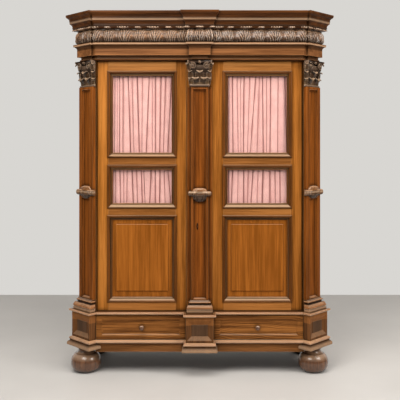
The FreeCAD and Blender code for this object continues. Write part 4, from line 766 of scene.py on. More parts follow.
def curl_leaf(x, base, top, half, y_base, y_top, curl, turn=0.0, rows=26, cols=17):
    """A leaf that climbs from base to top, leans forward and rolls over at its tip.

    The midline climbs to the roll while it leans forward in a smooth step from y_base to y_top,
    then turns over in an arc of radius curl through 200 degrees. The half width is near half up
    to the roll and closes as an ellipse. Across the leaf, with u from -1 to 1, the section is a
    shallow arch u^2 with ribs cos(5 pi u) and a raised midrib."""
    straight = top - base - curl
    bend = np.radians(200) * curl
    v = np.linspace(0.0, 1.0, rows)
    s = v * (straight + bend)
    lean = (y_top - y_base) * smooth(np.clip(s / straight, 0, 1), 0.0, 1.0)
    angle = np.clip((s - straight) / curl, 0, None)
    z = base + np.minimum(s, straight) + curl * np.sin(angle)
    y = y_base + lean - curl * (1 - np.cos(angle))
    taper = 1.0 - 0.28 * smooth(v, 0.55, 0.82)
    close = np.sqrt(np.clip(1.03 - np.clip((v - 0.84) / 0.16, 0, 1) ** 2, 0.03, 1))
    width = half * taper * close * (1 - 0.06 * np.cos(v * 8 * np.pi))
    u = np.linspace(-1, 1, cols)
    across = width[:, None] * u[None, :]
    arch = 0.16 * half * u ** 2 + 0.9 * np.cos(u * 5 * np.pi) * np.ones((rows, 1))
    arch = arch - 2.0 * bell(u, 0.0, 0.1)
    thick = 3.0
    normal_y, normal_z = -np.cos(angle)[:, None], -np.sin(angle)[:, None]
    front = np.stack([
        across, y[:, None] - arch * normal_y, z[:, None] - arch * normal_z], -1)
    back = np.stack([
        across * 0.96, y[:, None] - (arch + thick) * normal_y,
        z[:, None] - (arch + thick) * normal_z], -1)[:, ::-1]
    leaf = np.concatenate([front, back], 1)
    c, d = np.cos(turn), np.sin(turn)
    return np.stack([
        x + leaf[..., 0] * c - leaf[..., 1] * d, leaf[..., 0] * d + leaf[..., 1] * c,
        leaf[..., 2]], -1)


def turned_leaf(x, y, turn, base, top, half, curl):
    """A curl_leaf turned about its own foot at (x, y)."""
    leaf = curl_leaf(0.0, base, top, half, 0.0, -5.0, curl, turn)
    return leaf + np.array([x, y, 0.0])


print("one leaf:", curl_leaf(0.0, 0.0, 50.0, 20.0, 0.0, -5.0, 5.0).shape)

# %% [markdown]
# The scrolls are straps wound like a snail's shell, which shrinks by the same share with each turn.
# The slab on top is hollowed in plan, so that it reaches forward at its two corners.

# %% Scrolls, buttons and slab of a capital


def scroll(x, z, radius, y_face, side, turns=2.1, wide=13.0, rows=90):
    """A spiral strap: its middle line lies at radius * exp(-0.135 angle) from the eye, and its
    half width is 0.17 radius * exp(-0.08 angle)."""
    angle = np.linspace(0.0, turns * 2 * np.pi, rows)
    reach = radius * np.exp(-0.135 * angle)
    band = 0.17 * radius * np.exp(-0.08 * angle)
    start = np.pi / 2 + 0.5
    px = x - side * reach * np.cos(start - angle)
    pz = z + reach * np.sin(start - angle)
    tx, tz = np.gradient(px), np.gradient(pz)
    size = np.hypot(tx, tz)
    nx, nz = -tz / size, tx / size
    w = np.linspace(0, 2 * np.pi, 13)[:-1]
    ring_n = np.cos(w)[None, :] * band[:, None]
    bulge = y_face - 3.0 * (angle / angle[-1])
    ring_y = bulge[:, None] + wide * 0.5 * (1 + np.sign(np.sin(w)) * np.abs(np.sin(w)) ** 0.7)
    return np.stack([
        px[:, None] + nx[:, None] * ring_n, ring_y + 0 * ring_n,
        pz[:, None] + nz[:, None] * ring_n], -1)


def button(x, z, radius, y_face, deep):
    """A domed disc: rings of radius * cos(a) at y = face - 0.35 * radius * sin(a)."""
    a = np.linspace(0, 1.45, 7)
    w = np.linspace(0, 2 * np.pi, 25)[:-1]
    r = np.concatenate([[radius], radius * np.cos(a)])
    y = np.concatenate([[y_face + deep], y_face - 0.35 * radius * np.sin(a)])
    return np.stack([
        x + r[:, None] * np.cos(w), np.broadcast_to(y[:, None], (len(r), 24)),
        z + r[:, None] * np.sin(w)], -1)


def abacus(half, front, low, high, hollow, back, cols=42):
    """A slab whose front is hollowed by hollow * (1 - (x / half)^2), with a moulded edge."""
    u = np.linspace(-1, 1, cols)
    levels = [(low, -9.0), (low + 5, -6.5), (low + 9, -3.2), (low + 11, -3.0), (low + 11.5, 0.0),
              (high, 0.0)]
    rings = []
    for z, out in levels:
        x = u * (half + out)
        y = front - out + hollow * (1 - u ** 2)
        ring = np.stack([x, y, np.full(cols, z)], 1)
        ends = np.array([(half + out, back, z), (-half - out, back, z)])
        rings.append(np.concatenate([ring, ends]))
    return np.array(rings)


print("one scroll:", scroll(0.0, 0.0, 22.0, 0.0, 1.0).shape)

# %% [markdown]
# The parts are put together on the middle capital, and a wider one scales its widths.
# The outer capitals have a fuller core, because they stand on wider pilasters.

# %% One whole capital
CAPITAL_HALF = 74.0


def capital(half, face, back, low=1741.0, high=1897.0, core=1.0):
    """All stacks of one capital whose slab is half wide and stands at y = face.

    k scales its widths with the slab, and c those of the core and the leaves beside it."""
    k = half / CAPITAL_HALF
    c = k * core
    stacks = [
        ring_box([
            (low, 54 * c, face + 38, back, 4), (low + 12, 55 * c, face + 35, back, 4),
            (low + 60, 57 * c, face + 30, back, 5), (low + 105, 61 * c, face + 25, back, 6),
            (high - 27, 64 * c, face + 19, back, 6)]),
        ring_box([
            (low, 56 * c, face + 34, back, 5), (low + 2.5, 60 * c, face + 31, back, 6),
            (low + 7, 61.5 * c, face + 29.5, back, 7), (low + 11, 60 * c, face + 31, back, 6),
            (low + 13.5, 56 * c, face + 34, back, 5)]),
        abacus(half, face, high - 22, high, 9.0, back),
    ]
    y0 = face + 33
    for x in (-26 * k, 26 * k):
        stacks.append(curl_leaf(x, low + 13, low + 51, 27 * k, y0, y0 - 9, 6.5))
    for side in (-1.0, 1.0):
        stacks.append(turned_leaf(side * 52 * c, y0 + 3, side * 0.5, low + 13, low + 50, 17 * k, 4))
    stacks.append(curl_leaf(0.0, low + 38, low + 91, 27 * k, y0 - 4, y0 - 13, 6.0))
    for side in (-1.0, 1.0):
        stacks.append(turned_leaf(side * 55 * c, y0 - 4, side * 0.4, low + 38, low + 91, 18 * k, 4))
    eye, level = 42 * k, high - 34
    for side in (-1.0, 1.0):
        stacks.append(scroll(side * eye, level, 22.0, face + 3, side))
        stacks.append(button(side * eye, level, 5.0, face, 12.0))
        stacks.append(button(side * eye, level, 18.0, face + 14, 10.0))
        corner = side * 66 * k
        stacks.append(turned_leaf(corner, face + 20, side * 0.8, high - 56, high - 19, 14, 5))
    stacks.append(button(0.0, high - 12, 9.0, face + 4, 8.0))
    stacks.append(button(0.0, high - 12, 4.5, face + 1, 8.0))
    return stacks


print("one capital:", len(capital(CAPITAL_HALF, -70.0, -1.0)), "grids")

# %% [markdown]
# A piece is worked out flat and then put in its place. On the front that is a plain shift. The
# corners of this cupboard are canted by 45 degrees, so what stands there is turned about the
# middle of the corner's face, once for each side. The doors need room to turn, and whatever would
# reach over a door's edge is trimmed flat.

# %% Into place
DOOR_FACE = 67.0
CANT_MID = np.array([0.681, float(depth(109))])
CLEAR_OF_DOOR = 0.634
TURN_45 = np.sqrt(0.5)


def to_front(stack, plane=0.0):
    """Local frame of a front face: y = 0 lies at the depth plane."""
    return np.stack([stack[..., 0] * MM, depth(stack[..., 1] + plane), stack[..., 2] * MM], -1)


def to_corner(stack, side):
    """Local frame of a canted corner: x' = (x - y) / sqrt(2), y' = (x + y) / sqrt(2) from its
    middle, mirrored for the left, and never nearer to the middle than the door's clearance."""
    x, y = stack[..., 0] * MM, stack[..., 1] * MM
    across = np.maximum(CANT_MID[0] + (x - y) * TURN_45, CLEAR_OF_DOOR)
    return np.stack([
        side * across, CANT_MID[1] + (x + y) * TURN_45, stack[..., 2] * MM], -1)


print("middle of the right corner:", CANT_MID)

# %% [markdown]
# The middle capital belongs to the right door and turns with it. The outer two are glued to the
# corners, so they ride with the carcase. Each stands for the plain block of the construction.

# %% Capitals
middle = [
    to_front(part, DOOR_FACE) for part in capital(CAPITAL_HALF, face=-70.0, back=-1.0)]
item = shell("centre_capital_carved", middle, oak_carved, "right_door", ["centre_capital"])
print("centre capital:", triangles(item), "triangles")
outer = capital(84.0, face=-47.0, back=10.0, high=1900.0, core=1.17)
for side, hand in HANDS:
    stacks = [to_corner(part, side) for part in outer]
    item = shell(
        f"{hand}_capital_carved", stacks, oak_carved, "carcase", [f"{hand}_capital"])
    print(f"{hand} capital:", triangles(item), "triangles")

# %% [markdown]
# ## Framed pieces
# A moulding round a panel is mitred at its corners. It could be swept along a path, but a stack of
# rectangles does the same with fewer points. Each rectangle is set in from the one before and lies
# a little nearer or deeper, so a list of (inset, depth) pairs is the whole profile, and the corners
# come out mitred. Door mouldings and sunk panels are all made this way.

# %% Profiles


def arc(start, end, swell, count=6):
    """Points from start to end on a bow: start + t (end - start) + 4 t (1 - t) swell * normal."""
    start, end = np.array(start, float), np.array(end, float)
    t = np.linspace(0, 1, count)[:, None]
    run = end - start
    normal = np.array([-run[1], run[0]]) / np.hypot(*run)
    return start + t * run + 4 * t * (1 - t) * swell * normal


def profile(*parts):
    """One list of points from single points and arcs, without repeats."""
    points = np.concatenate([np.atleast_2d(np.array(part, float)) for part in parts])
    keep = np.concatenate([[True], np.abs(np.diff(points, axis=0)).sum(1) > 1e-6])
    return points[keep]


def rectangles(span_x, span_z, line):
    """Rings of four points: line holds (inset, y), with the same inset on all four sides."""
    inset, y = line[:, 0], line[:, 1]
    a, b = span_x[0] + inset, span_x[1] - inset
    c, d = span_z[0] + inset, span_z[1] - inset
    corners = [(a, y, c), (b, y, c), (b, y, d), (a, y, d)]
    return np.stack([np.stack(corner, -1) for corner in corners], 1)


print("a bow of six points:", arc((0.0, 0.0), (10.0, 0.0), 2.0).shape)

# %% [markdown]
# Each door has three openings, one of wood and two of glass. The moulding laps over the frame,
# dips in a hollow and ends in a small round. Its uprights carry a wood with upright grain. The
# wooden panel is raised in its middle, with a splay that is wider above and below.

# %% Door mouldings and panels
OPENING_X = np.array([146.0, 557.0])
PANEL_Z = (434.0, 953.0)
GLASS_Z = ((1006.0, 1260.0), (1315.0, 1833.0))
PANEL_TRIM, GLASS_TRIM = 24.0, 26.0


def trim_profile(wide):
    """Section of a door moulding, as (inset, depth), closed on itself; wide is how far it
    reaches into the opening."""
    k = wide / GLASS_TRIM
    return profile(
        (0.2, 80.9), (0.2, 66.8), (-6.0, 66.8), arc((-6.0, 63.5), (-2.0, 60.2), -0.8, 5),
        (1.5, 59.8), (2.2, 61.4), arc((2.2, 61.4), (12.0 * k, 69.5), -1.6, 8),
        (12.6 * k, 79.0), (19.5 * k, 79.4), (20.0 * k, 75.6),
        arc((20.0 * k, 75.6), (wide - 1.0, 77.6), -1.0, 5),
        (wide - 0.2, 80.9), (0.2, 80.9))


def raised_panel(span_x):
    """Rings of a raised panel: an edge, a splay in two bows and a flat middle. The splay is
    wider by 14 mm below and 4 mm above than at the sides."""
    line = profile(
        (0.3, 90.9), (0.3, 81.1), (24.0, 81.1), (26.5, 81.1), arc((26.5, 81.1), (46.0, 78.2), 0.8),
        (46.6, 75.6), arc((46.6, 75.6), (51.0, 73.2), -0.7, 5), (52.0, 73.4), (64.0, 73.4))
    rings = rectangles(span_x, PANEL_Z, line)
    grow = np.clip((line[:, 0] - 24.0) / 24.0, 0, 1)[:, None]
    rings[:, :2, 2] += 14.0 * grow
    rings[:, 2:, 2] -= 4.0 * grow
    return rings


for side, hand in HANDS:
    span_x = np.sort(side * OPENING_X)
    frames = [rectangles(span_x, PANEL_Z, trim_profile(PANEL_TRIM))]
    frames += [rectangles(span_x, span_z, trim_profile(GLASS_TRIM)) for span_z in GLASS_Z]
    shell(
        f"{hand}_door_mouldings_cut", [to_front(part) for part in frames], oak_trim,
        f"{hand}_door", [f"{hand}_door_mouldings"], 35.0, None, oak_trim_up)
    shell(
        f"{hand}_door_panel_cut", [to_front(raised_panel(span_x))], oak_panel, f"{hand}_door",
        [f"{hand}_door_panel"], 35.0)
print("door mouldings and panels made")

# %% [markdown]
# The three pedestals of the base have sunk panels, and the field of each is a thin board of darker
# oak, with a soft edge. The same rectangles serve, laid on the sunk face.

# %% Pedestal fields
FIELD_X, FIELD_Z = (-48.6, 48.6), (247.4, 314.6)
CENTRE_SUNK, CORNER_SUNK = -27.0, -51.6
edge = profile((0.3, 1.0), (0.3, -0.4), arc((0.3, -0.4), (3.0, -1.6), -0.5, 4), (30.0, -1.6))
field = rectangles(FIELD_X, FIELD_Z, edge)
places = {"centre": to_front(field, CENTRE_SUNK)}
for side, hand in HANDS:
    places[hand] = to_corner(field + (0.0, CORNER_SUNK, 0.0), side)
for where, stack in places.items():
    shell(f"{where}_pedestal_field", [stack], oak_field, "carcase", (), 30.0)
print("pedestal fields made")

# %% [markdown]
# ## Pilasters
# A pilaster is a plinth, a moulded foot, two lengths of shaft with sunk panels and a carved boss
# between them. The middle one rides on the right door. The outer two are turned to the canted
# corners, and their backs are trimmed to the corner post, clear of the door. The foot could be
# revolved if it were round, but it is square, so it is a stack of blocks that grow and shrink.

# %% Blocks of a pilaster


def pier(levels, corner):
    """Rings of a block from (z, half width, reach); a corner block is trimmed behind."""
    rings = []
    for z, half, reach in levels:
        if corner:
            back = min(-0.2, 70.9 - half)
            edge = min(half - 0.02, 70.7)
        else:
            back, edge = -0.2, half - 0.02
        rings.append([
            (-edge, -0.15, z), (-half, back, z), (-half, -reach, z), (half, -reach, z),
            (half, back, z), (edge, -0.15, z)])
    return np.array(rings)


print("one block:", pier([(0.0, 79.0, 60.0), (10.0, 79.0, 60.0)], False).shape)

# %% [markdown]
# The boss half way up is a bunch of carved leaves: a bowl of leaves below, a belt like a twisted
# rope and a low dome above. A rounded box in plan that swells and shrinks with the height gives
# all three, and a wave round the plan cuts its lobes. The outer bosses are wider, and their belts
# are trimmed on the door side, so that the open doors pass them.

# %% Boss of a pilaster
BOSS_HALF, CUP_HALF, DOME_HALF = 71.0, 50, 54
WIDEST = 84.0


def boss(half, reach, shaft, low, middle, rise, high):
    """A carved boss whose belt stands rise above and below middle.

    The plan at each height is |x / h|^n + |y / r|^n = 1, made smaller by
    cut * (1 - |sin(lobes * angle + twist)|^0.5) * sin(pi t), where t runs from foot to head. h
    and r follow circles and near circles in the height; cup, belt and dome each have their own
    (h, r, n, lobes, cut). The belt also has a nick in front, which narrows as it climbs."""
    theta = np.linspace(0, np.pi, 130)
    cos, sin = np.cos(theta), np.sin(theta)
    z_cup = np.linspace(low, middle - 0.6 * rise, 18)
    z_belt = np.linspace(middle - rise, middle + rise, 15)
    z_dome = np.linspace(middle + 0.6 * rise, high, 14)
    k, stand = min(half, WIDEST) / BOSS_HALF, reach - shaft
    t = (z_cup - low) / (z_cup[-1] - low)
    bowl = np.sqrt(np.clip(1 - 0.8 * (1 - t) ** 2, 0, 1))
    cup = (CUP_HALF * k * bowl, shaft + (stand - 3) * bowl ** 1.6, 3.0, 7.0, 0.2)
    t = (z_belt - middle) / rise
    round_off = np.sqrt(np.clip(1 - t ** 2, 0, 1))
    belt = (half - 10 + 10 * round_off, reach - 9 + 9 * round_off, 5.0, 13.0, 0.15)
    t = (z_dome - z_dome[0]) / (high - z_dome[0])
    round_off = np.sqrt(np.clip(1 - t ** 2.6, 0.02, 1))
    dome_half = k * DOME_HALF * (0.25 + 0.75 * round_off)
    dome = (dome_half, shaft + (stand - 5) * round_off, 3.4, 5.0, 0.06)
    stacks = []
    for z, (h, r, power, lobes, cut) in ((z_cup, cup), (z_belt, belt), (z_dome, dome)):
        is_belt = power > 4
        lean = (z - z[0])[:, None] / (z[-1] - z[0])
        lobe = np.abs(np.sin(lobes * theta + (1.6 * lean if is_belt else 0.0))) ** 0.5
        carve = 1 + cut * (lobe - 1.0) * np.sin(np.pi * np.clip(lean, 0.1, 0.9))
        carve = carve * (1 - 0.14 * bell(theta, np.pi / 2, 0.07 + 0.1 * (1 - lean)) * is_belt)
        x = h[:, None] * np.sign(cos) * np.abs(cos) ** (2 / power) * carve
        y = np.minimum(-r[:, None] * sin ** (2 / power) * carve, -0.3)
        stacks.append(np.stack([x, y, np.broadcast_to(z[:, None], x.shape)], -1))
    return stacks


CENTRE_BOSS = boss(
    BOSS_HALF, reach=48.0, shaft=30.0, low=1043.0, middle=1091.0, rise=14.0, high=1126.0)
CORNER_BOSS = boss(
    100.0, reach=42.0, shaft=25.0, low=1060.0, middle=1097.0, rise=17.0, high=1137.0)
for part in CORNER_BOSS:
    part[..., 0] = np.maximum(part[..., 0], -WIDEST)
print("bosses:", [part.shape for part in CENTRE_BOSS])

# %% [markdown]
# The foot rises as a grooved block, a wide bevel, an undercut, a round and a hollow. The shaft has
# one sunk panel below the boss and one above it, each with a small moulding round its edge.

# %% Foot and shaft of a pilaster
PANELS = ((444.5, 1085.0, 452.0, 1062.0), (1085.0, 1742.0, 1108.0, 1725.0))


def pilaster_foot(plinth, reach, shaft_half, shaft_reach, foot, corner):
    """Rings of a moulded foot. The bevel loses 8 a^1.4 of width and 10 a^1.4 of reach as a runs
    from 0 to 1, the round is a circle of radius 6, and the hollow closes in as (1 - a)^0.7."""
    w, r = plinth, reach
    levels = [(foot, w - 1, r - 1), (390, w - 1, r - 1), (391.5, w - 5, r - 5),
              (395, w - 5, r - 5), (396.5, w - 0.5, r - 0.5), (399, w - 0.5, r - 0.5)]
    rise = np.linspace(0, 1, 8)
    levels += [(400 + 20 * a, w - 0.5 - 8 * a ** 1.4, r - 0.5 - 10 * a ** 1.4) for a in rise]
    w, r = w - 13.0, r - 17.0
    levels += [(421, w - 5, r - 5), (427.5, w - 6, r - 6)]
    for a in np.linspace(-1, 0.8, 9):
        swell = 6.0 * np.sqrt(1 - a * a)
        levels.append((433 + 5.5 * a, w - 6 + swell, r - 6 + swell))
    for a in rise[1:]:
        drop = (1 - a) ** 0.7
        half = shaft_half + 0.6 + (w - shaft_half - 6) * drop
        levels.append((438 + 8 * a, half, shaft_reach + 0.6 + (r - shaft_reach - 6) * drop))
    return pier(levels, corner)


def pilaster_shaft(s, q, panel):
    """Rings of the two lengths of a shaft that is s half wide and stands q forward.

    PANELS holds the foot and head of each length and of its sunk panel, whose half width is
    panel. Insets grow faster above and below, so that the panel ends where it should."""
    edge = s - panel
    line = profile(
        (0.0, -0.2), (0.0, -q), (edge - 5, -q), (edge - 4.4, -q - 1.2),
        arc((edge - 4.4, -q - 1.2), (edge, -q - 1.0), -0.7, 5), (edge + 0.8, -q + 3.5),
        arc((edge + 0.8, -q + 3.5), (edge + 8, -q + 11), 1.0), (edge + 8.4, -q + 13.5),
        (edge + 10, -q + 13.5), (edge + 20, -q + 13.0))
    push = np.clip(line[:, 0], 0, edge) / edge
    lengths = []
    for low, high, start, end in PANELS:
        rings = rectangles((-s, s), (low, high), line)
        rings[:, :2, 2] += ((start - low - edge) * push)[:, None]
        rings[:, 2:, 2] += ((end - high + edge) * push)[:, None]
        lengths.append(rings)
    return lengths


print("one shaft:", [part.shape for part in pilaster_shaft(52.0, 30.0, 40.0)])

# %% [markdown]
# The middle pilaster is joined to the right door, and so its three pieces ride with that door. Two
# strips beside its shaft close the gap between the doors.

# %% Middle pilaster
centre_foot = pilaster_foot(
    plinth=79.0, reach=60.0, shaft_half=52.0, shaft_reach=30.0, foot=378.5, corner=False)
centre_shaft = pilaster_shaft(52.0, 30.0, panel=40.0)
centre_strip = pier([(443.0, 76.0, 4.0), (1739.0, 76.0, 4.0)], False)


def build_pilaster(name, parts, place, body, shaft_wood):
    """Three pieces from the grids of one pilaster, all standing for the same board."""
    finishes = (("shaft", shaft_wood, 38), ("foot", oak_plinth, 32), ("boss", oak_boss, 70))
    for stacks, (label, finish, angle) in zip(parts, finishes):
        piece = shell(
            f"{name}_{label}", [place(part) for part in stacks], finish, body, [name], angle)
        print(piece.name, triangles(piece), "triangles")


build_pilaster(
    "centre_pilaster", (centre_shaft + [centre_strip], [centre_foot], CENTRE_BOSS),
    lambda part: to_front(part, DOOR_FACE), "right_door", oak_pilaster)

# %% [markdown]
# The keyhole has a pointed iron plate. A circle drawn with its sine and cosine raised to a power
# above 1 draws in between its four points, which is just the outline of such a plate.

# %% Keyhole plate


def keyhole(x, z, half, tall, y_face):
    """A pointed plate with a hole: x = half * cos^1.4, z = tall * sin^1.4, keeping their signs."""
    w = np.linspace(0, 2 * np.pi, 33)[:-1]
    edge_x = np.sign(np.cos(w)) * np.abs(np.cos(w)) ** 1.4
    edge_z = np.sign(np.sin(w)) * np.abs(np.sin(w)) ** 1.4
    levels = ((1.0, 0.0), (1.0, -1.2), (0.86, -1.9), (0.4, -1.9), (0.34, -1.2), (0.3, -0.4))
    rings = [np.stack([
        x + half * share * edge_x, np.full(32, y_face + y), z + tall * share * edge_z], -1)
        for share, y in levels]
    return np.array(rings)


plate = to_front(keyhole(x=-14.0, z=892.0, half=5.5, tall=21.5, y_face=-16.4), DOOR_FACE)
item = shell("keyhole_plate", [plate], black_iron, "right_door", (), 30.0)
print("keyhole plate:", triangles(item), "triangles")

# %% [markdown]
# The outer pilasters are alike but wider and flatter, and are built once and placed twice.

# %% Outer pilasters
corner_foot = pilaster_foot(
    plinth=90.0, reach=58.0, shaft_half=71.0, shaft_reach=25.0, foot=376.0, corner=True)
corner_shaft = pilaster_shaft(71.0, 25.0, panel=42.0)
for side, hand in HANDS:
    build_pilaster(
        f"{hand}_pilaster", (corner_shaft, [corner_foot], CORNER_BOSS),
        lambda part: to_corner(part, side), "carcase", oak_corner)

# %% [markdown]
# ## Curtains
# Each curtain is one thin sheet of cotton, gathered on a rod behind its pane. A cloth simulation
# would put the folds where it likes. Here each crease is listed one by one, and between two creases
# the cloth bulges forward in a wave that takes up nearly all the width it was cut to. The folds are
# tight at the rod and open a little as they fall, and the top passes over the rod as a sleeve.

# %% Thickness and flat shape of a sheet
HALF_THICK = 0.35


def sheet_rings(surface):
    """Both faces of a thin sheet as closed rings: the surface plus and minus HALF_THICK along its
    normal, the second face backwards."""
    along_x, along_z = np.gradient(surface, axis=1), np.gradient(surface, axis=0)
    normal = np.cross(along_x, along_z)
    normal /= np.linalg.norm(normal, axis=2)[..., None]
    faces = [surface + HALF_THICK * normal, (surface - HALF_THICK * normal)[:, ::-1]]
    return np.concatenate(faces, 1)


def laid_flat(surface):
    """Where each ring point lies on the flat sheet, in metres: the length along its own row, and
    the mean length down to that row."""
    lengths = np.linalg.norm(np.diff(surface, axis=1), axis=2).cumsum(1) * MM
    lengths = np.concatenate([np.zeros((len(surface), 1)), lengths], 1)
    fall = np.linalg.norm(np.diff(surface, axis=0), axis=2).mean(1).cumsum() * MM
    fall = np.concatenate([[0.0], fall])[:, None] + 0 * lengths
    flat_map = np.stack([lengths, fall], -1)
    return np.concatenate([flat_map, flat_map[:, ::-1]], 1)


def item_area(item):
    """Sum of the face areas."""
    areas = np.empty(len(item.data.polygons))
    item.data.polygons.foreach_get("area", areas)
    return float(areas.sum())


print("the cloth is", 2 * HALF_THICK, "mm thick")

# %% [markdown]
# A curtain is a grid of rows down the drop and of points along the rod. The rows begin with the
# sleeve, which is most of a circle round the rod. Small random waves keep two folds from being
# alike, and the seed makes them fall the same way each time.

# %% Folds of a curtain
CLOTH_LEFT, CLOTH_WIDE = 139.0, 425.0
PANE_LEFT, PANE_RIGHT = (146.0, 160.0), (545.0, 558.0)
BACK_Y, ROD_Y = 108.3, 103.0
UNDER_ROD = 5.0
POINTS_PER_FOLD, SLEEVE_ROWS, DROP_ROWS = 26, 17, 89


def curtain_surface(sign, low, rod_z, creases, seed):
    """Points of one gathered curtain, in millimetres.

    creases lists (share across at the top, share across at the foot, strength). Between two
    creases v runs from 0 to 1 and y = back - h * sin(pi v)^0.75, where h grows with the width
    between the creases. Where a crease is weak, the fold on that side is shallow. t runs from 0
    under the rod to 1 at the hem."""
    rng = np.random.default_rng(seed)
    creases = [(0.0, 0.0, 1.0)] + list(creases) + [(1.0, 1.0, 1.0)]
    top, foot, force = (np.array(column) for column in zip(*creases))
    folds, per = len(top) - 1, POINTS_PER_FOLD
    v = (1 - np.cos(np.pi * np.arange(per) / per)) / 2
    v = np.append(np.tile(v, folds), 1.0)
    start = np.append(np.repeat(np.arange(folds), per), folds - 1)
    sleeve = np.linspace(0, 1, SLEEVE_ROWS)
    drop = np.linspace(0, 1, DROP_ROWS + 1)[1:]
    hang = rod_z - UNDER_ROD - low
    t = np.concatenate([np.zeros(SLEEVE_ROWS), drop])[:, None]
    c0 = top[start] + (foot[start] - top[start]) * t
    c1 = top[start + 1] + (foot[start + 1] - top[start + 1]) * t
    span = (c1 - c0) * CLOTH_WIDE
    x = CLOTH_LEFT + CLOTH_WIDE * c0 + span * (v - 0.10 * np.sin(2 * np.pi * v))
    inside = smooth(x, *PANE_LEFT) * (1 - smooth(x, *PANE_RIGHT))
    swell = np.minimum(0.42 * span, 9.0 + 3.0 * inside)
    crease = force[start] + (force[start + 1] - force[start]) * smooth(v, 0.0, 1.0)
    fold = crease * np.sin(np.pi * v) ** 0.75 + (1 - crease) * (0.75 + 0.25 * np.sin(np.pi * v))
    grown = 0.30 + 0.70 * smooth(t, 0.0, 0.10)
    y = BACK_Y - swell * fold * grown - 3.0 * (1 - grown)

    wave = rng.uniform(0, 6.28, 4)
    y = y + 0.8 * np.sin(x / 7.0 + wave[0]) * np.sin(t * 5 + wave[1]) * smooth(t, 0, 0.2)
    small = np.sin(x / 3.4 + 2.2 * np.sin(x / 19.0 + wave[1]) + 0.8 * t)
    y = y + 1.25 * small * (0.55 + 0.45 * np.sin(x / 31.0 + wave[2] + t)) * np.sin(np.pi * v) ** 0.5
    gather = np.sin(x / 1.9 + 2.0 * np.sin(x / 11.0 + wave[2]))
    y = y + 1.3 * (1 - smooth(t, 0.0, 0.16)) * gather
    z = rod_z - UNDER_ROD - hang * t + 0.9 * np.sin(x / 23.0 + wave[3]) * t

    top_rows = slice(0, SLEEVE_ROWS)
    around = np.pi * (1.12 - 1.24 * sleeve)[:, None]
    reach = 4.9 + 0.5 * (1 + gather[top_rows])
    joins = np.clip(sleeve * 6 - 5, 0, 1)[:, None]
    y_loop, z_loop = ROD_Y + reach * np.cos(around), rod_z + reach * np.sin(around)
    y[top_rows] = y_loop + (y[top_rows] - y_loop) * joins
    z[top_rows] = z_loop + (z[top_rows] - z_loop) * joins
    return np.stack([sign * x, y, z], -1)


def curtain(name, body, surface, flat):
    """One object from the points of a curtain, measured against the sheet it is cut from."""
    item = shell(
        name, [to_front(sheet_rings(surface))], cotton, body, (), 180.0, [laid_flat(surface)])
    area = 0.5 * item_area(item)
    print(name, "cloth area", round(area, 4), "flat", flat, round(flat[0] * flat[1], 4))
    return item


print("points down a curtain:", SLEEVE_ROWS + DROP_ROWS)

# %% [markdown]
# Four curtains hang on the two doors, one behind each pane. Each is given the flat size that it
# is cut to, in metres, so that its cloth can be measured against it. The creases are listed from
# left to right as they are seen, and are turned round on the left door, whose curtains are worked
# out as on the right one and then mirrored.

# %% Curtains
CURTAINS = (("upper", 1301.0, 1847.0, 0.575), ("middle", 992.0, 1274.0, 0.31))
CREASES = {
    "left_upper": [(0.045, 0.045, 0.8), (0.10, 0.09, 0.5), (0.135, 0.13, 0.45), (0.17, 0.165, 1),
                   (0.22, 0.215, 0.7), (0.29, 0.33, 1), (0.345, 0.38, 0.35), (0.42, 0.455, 1),
                   (0.50, 0.49, 0.3), (0.60, 0.55, 0.75), (0.64, 0.64, 0.4), (0.685, 0.685, 1),
                   (0.77, 0.745, 0.9), (0.84, 0.80, 0.5), (0.93, 0.86, 0.6)],
    "left_middle": [(0.06, 0.06, 0.8), (0.105, 0.11, 0.6), (0.17, 0.18, 1), (0.225, 0.23, 0.4),
                    (0.28, 0.27, 0.5), (0.345, 0.37, 1), (0.41, 0.43, 0.4), (0.475, 0.50, 1),
                    (0.515, 0.54, 0.8), (0.63, 0.60, 1), (0.685, 0.685, 0.7), (0.755, 0.745, 0.9),
                    (0.81, 0.83, 0.4), (0.86, 0.92, 0.5)],
    "right_upper": [(0.08, 0.085, 0.8), (0.145, 0.155, 0.9), (0.21, 0.23, 0.4), (0.26, 0.27, 0.35),
                    (0.315, 0.305, 1), (0.40, 0.36, 0.35), (0.49, 0.40, 0.6), (0.54, 0.50, 0.4),
                    (0.58, 0.595, 1), (0.64, 0.64, 0.4), (0.70, 0.69, 0.9), (0.81, 0.80, 0.5),
                    (0.91, 0.935, 0.9), (0.965, 0.985, 0.7)],
    "right_middle": [(0.09, 0.09, 0.9), (0.15, 0.13, 0.8), (0.23, 0.22, 0.4), (0.31, 0.305, 1),
                     (0.38, 0.36, 0.4), (0.45, 0.41, 0.8), (0.52, 0.50, 0.35), (0.59, 0.575, 1),
                     (0.69, 0.69, 0.9), (0.76, 0.77, 0.4), (0.83, 0.84, 0.5), (0.945, 0.97, 0.9)],
}
seed = 3
for side, hand in HANDS:
    made = []
    for level, low, rod_z, fall in CURTAINS:
        creases = CREASES[f"{hand}_{level}"]
        if side < 0:
            creases = [(1 - a, 1 - b, f) for a, b, f in creases[::-1]]
        seed += 1
        flat = (0.6, fall)
        surface = curtain_surface(side, low, rod_z, creases, seed)
        made.append(curtain(f"{hand}_{level}_curtain", f"{hand}_door", surface, flat))
    for item in made:
        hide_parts(f"{hand}_door_curtains")

# %% [markdown]
# ## Room and light
# A pale floor runs back to a pale wall. Four soft lamps light the cupboard from high on the left,
# from high on the right, from overhead and, faintly, from behind the wall. Large lamps give the
# soft shadows that show carving without black holes. They would light the wall unevenly, so it
# shows one plain colour to the camera, throws light back as paint does, and is clear from behind.

# %% Floor and wall
PALE = rgb(216, 214, 210)
WALL_Y, WALL_TOP = 1.94, 5.0
ROOM, ROOM_FRONT = 6.0, -8.0


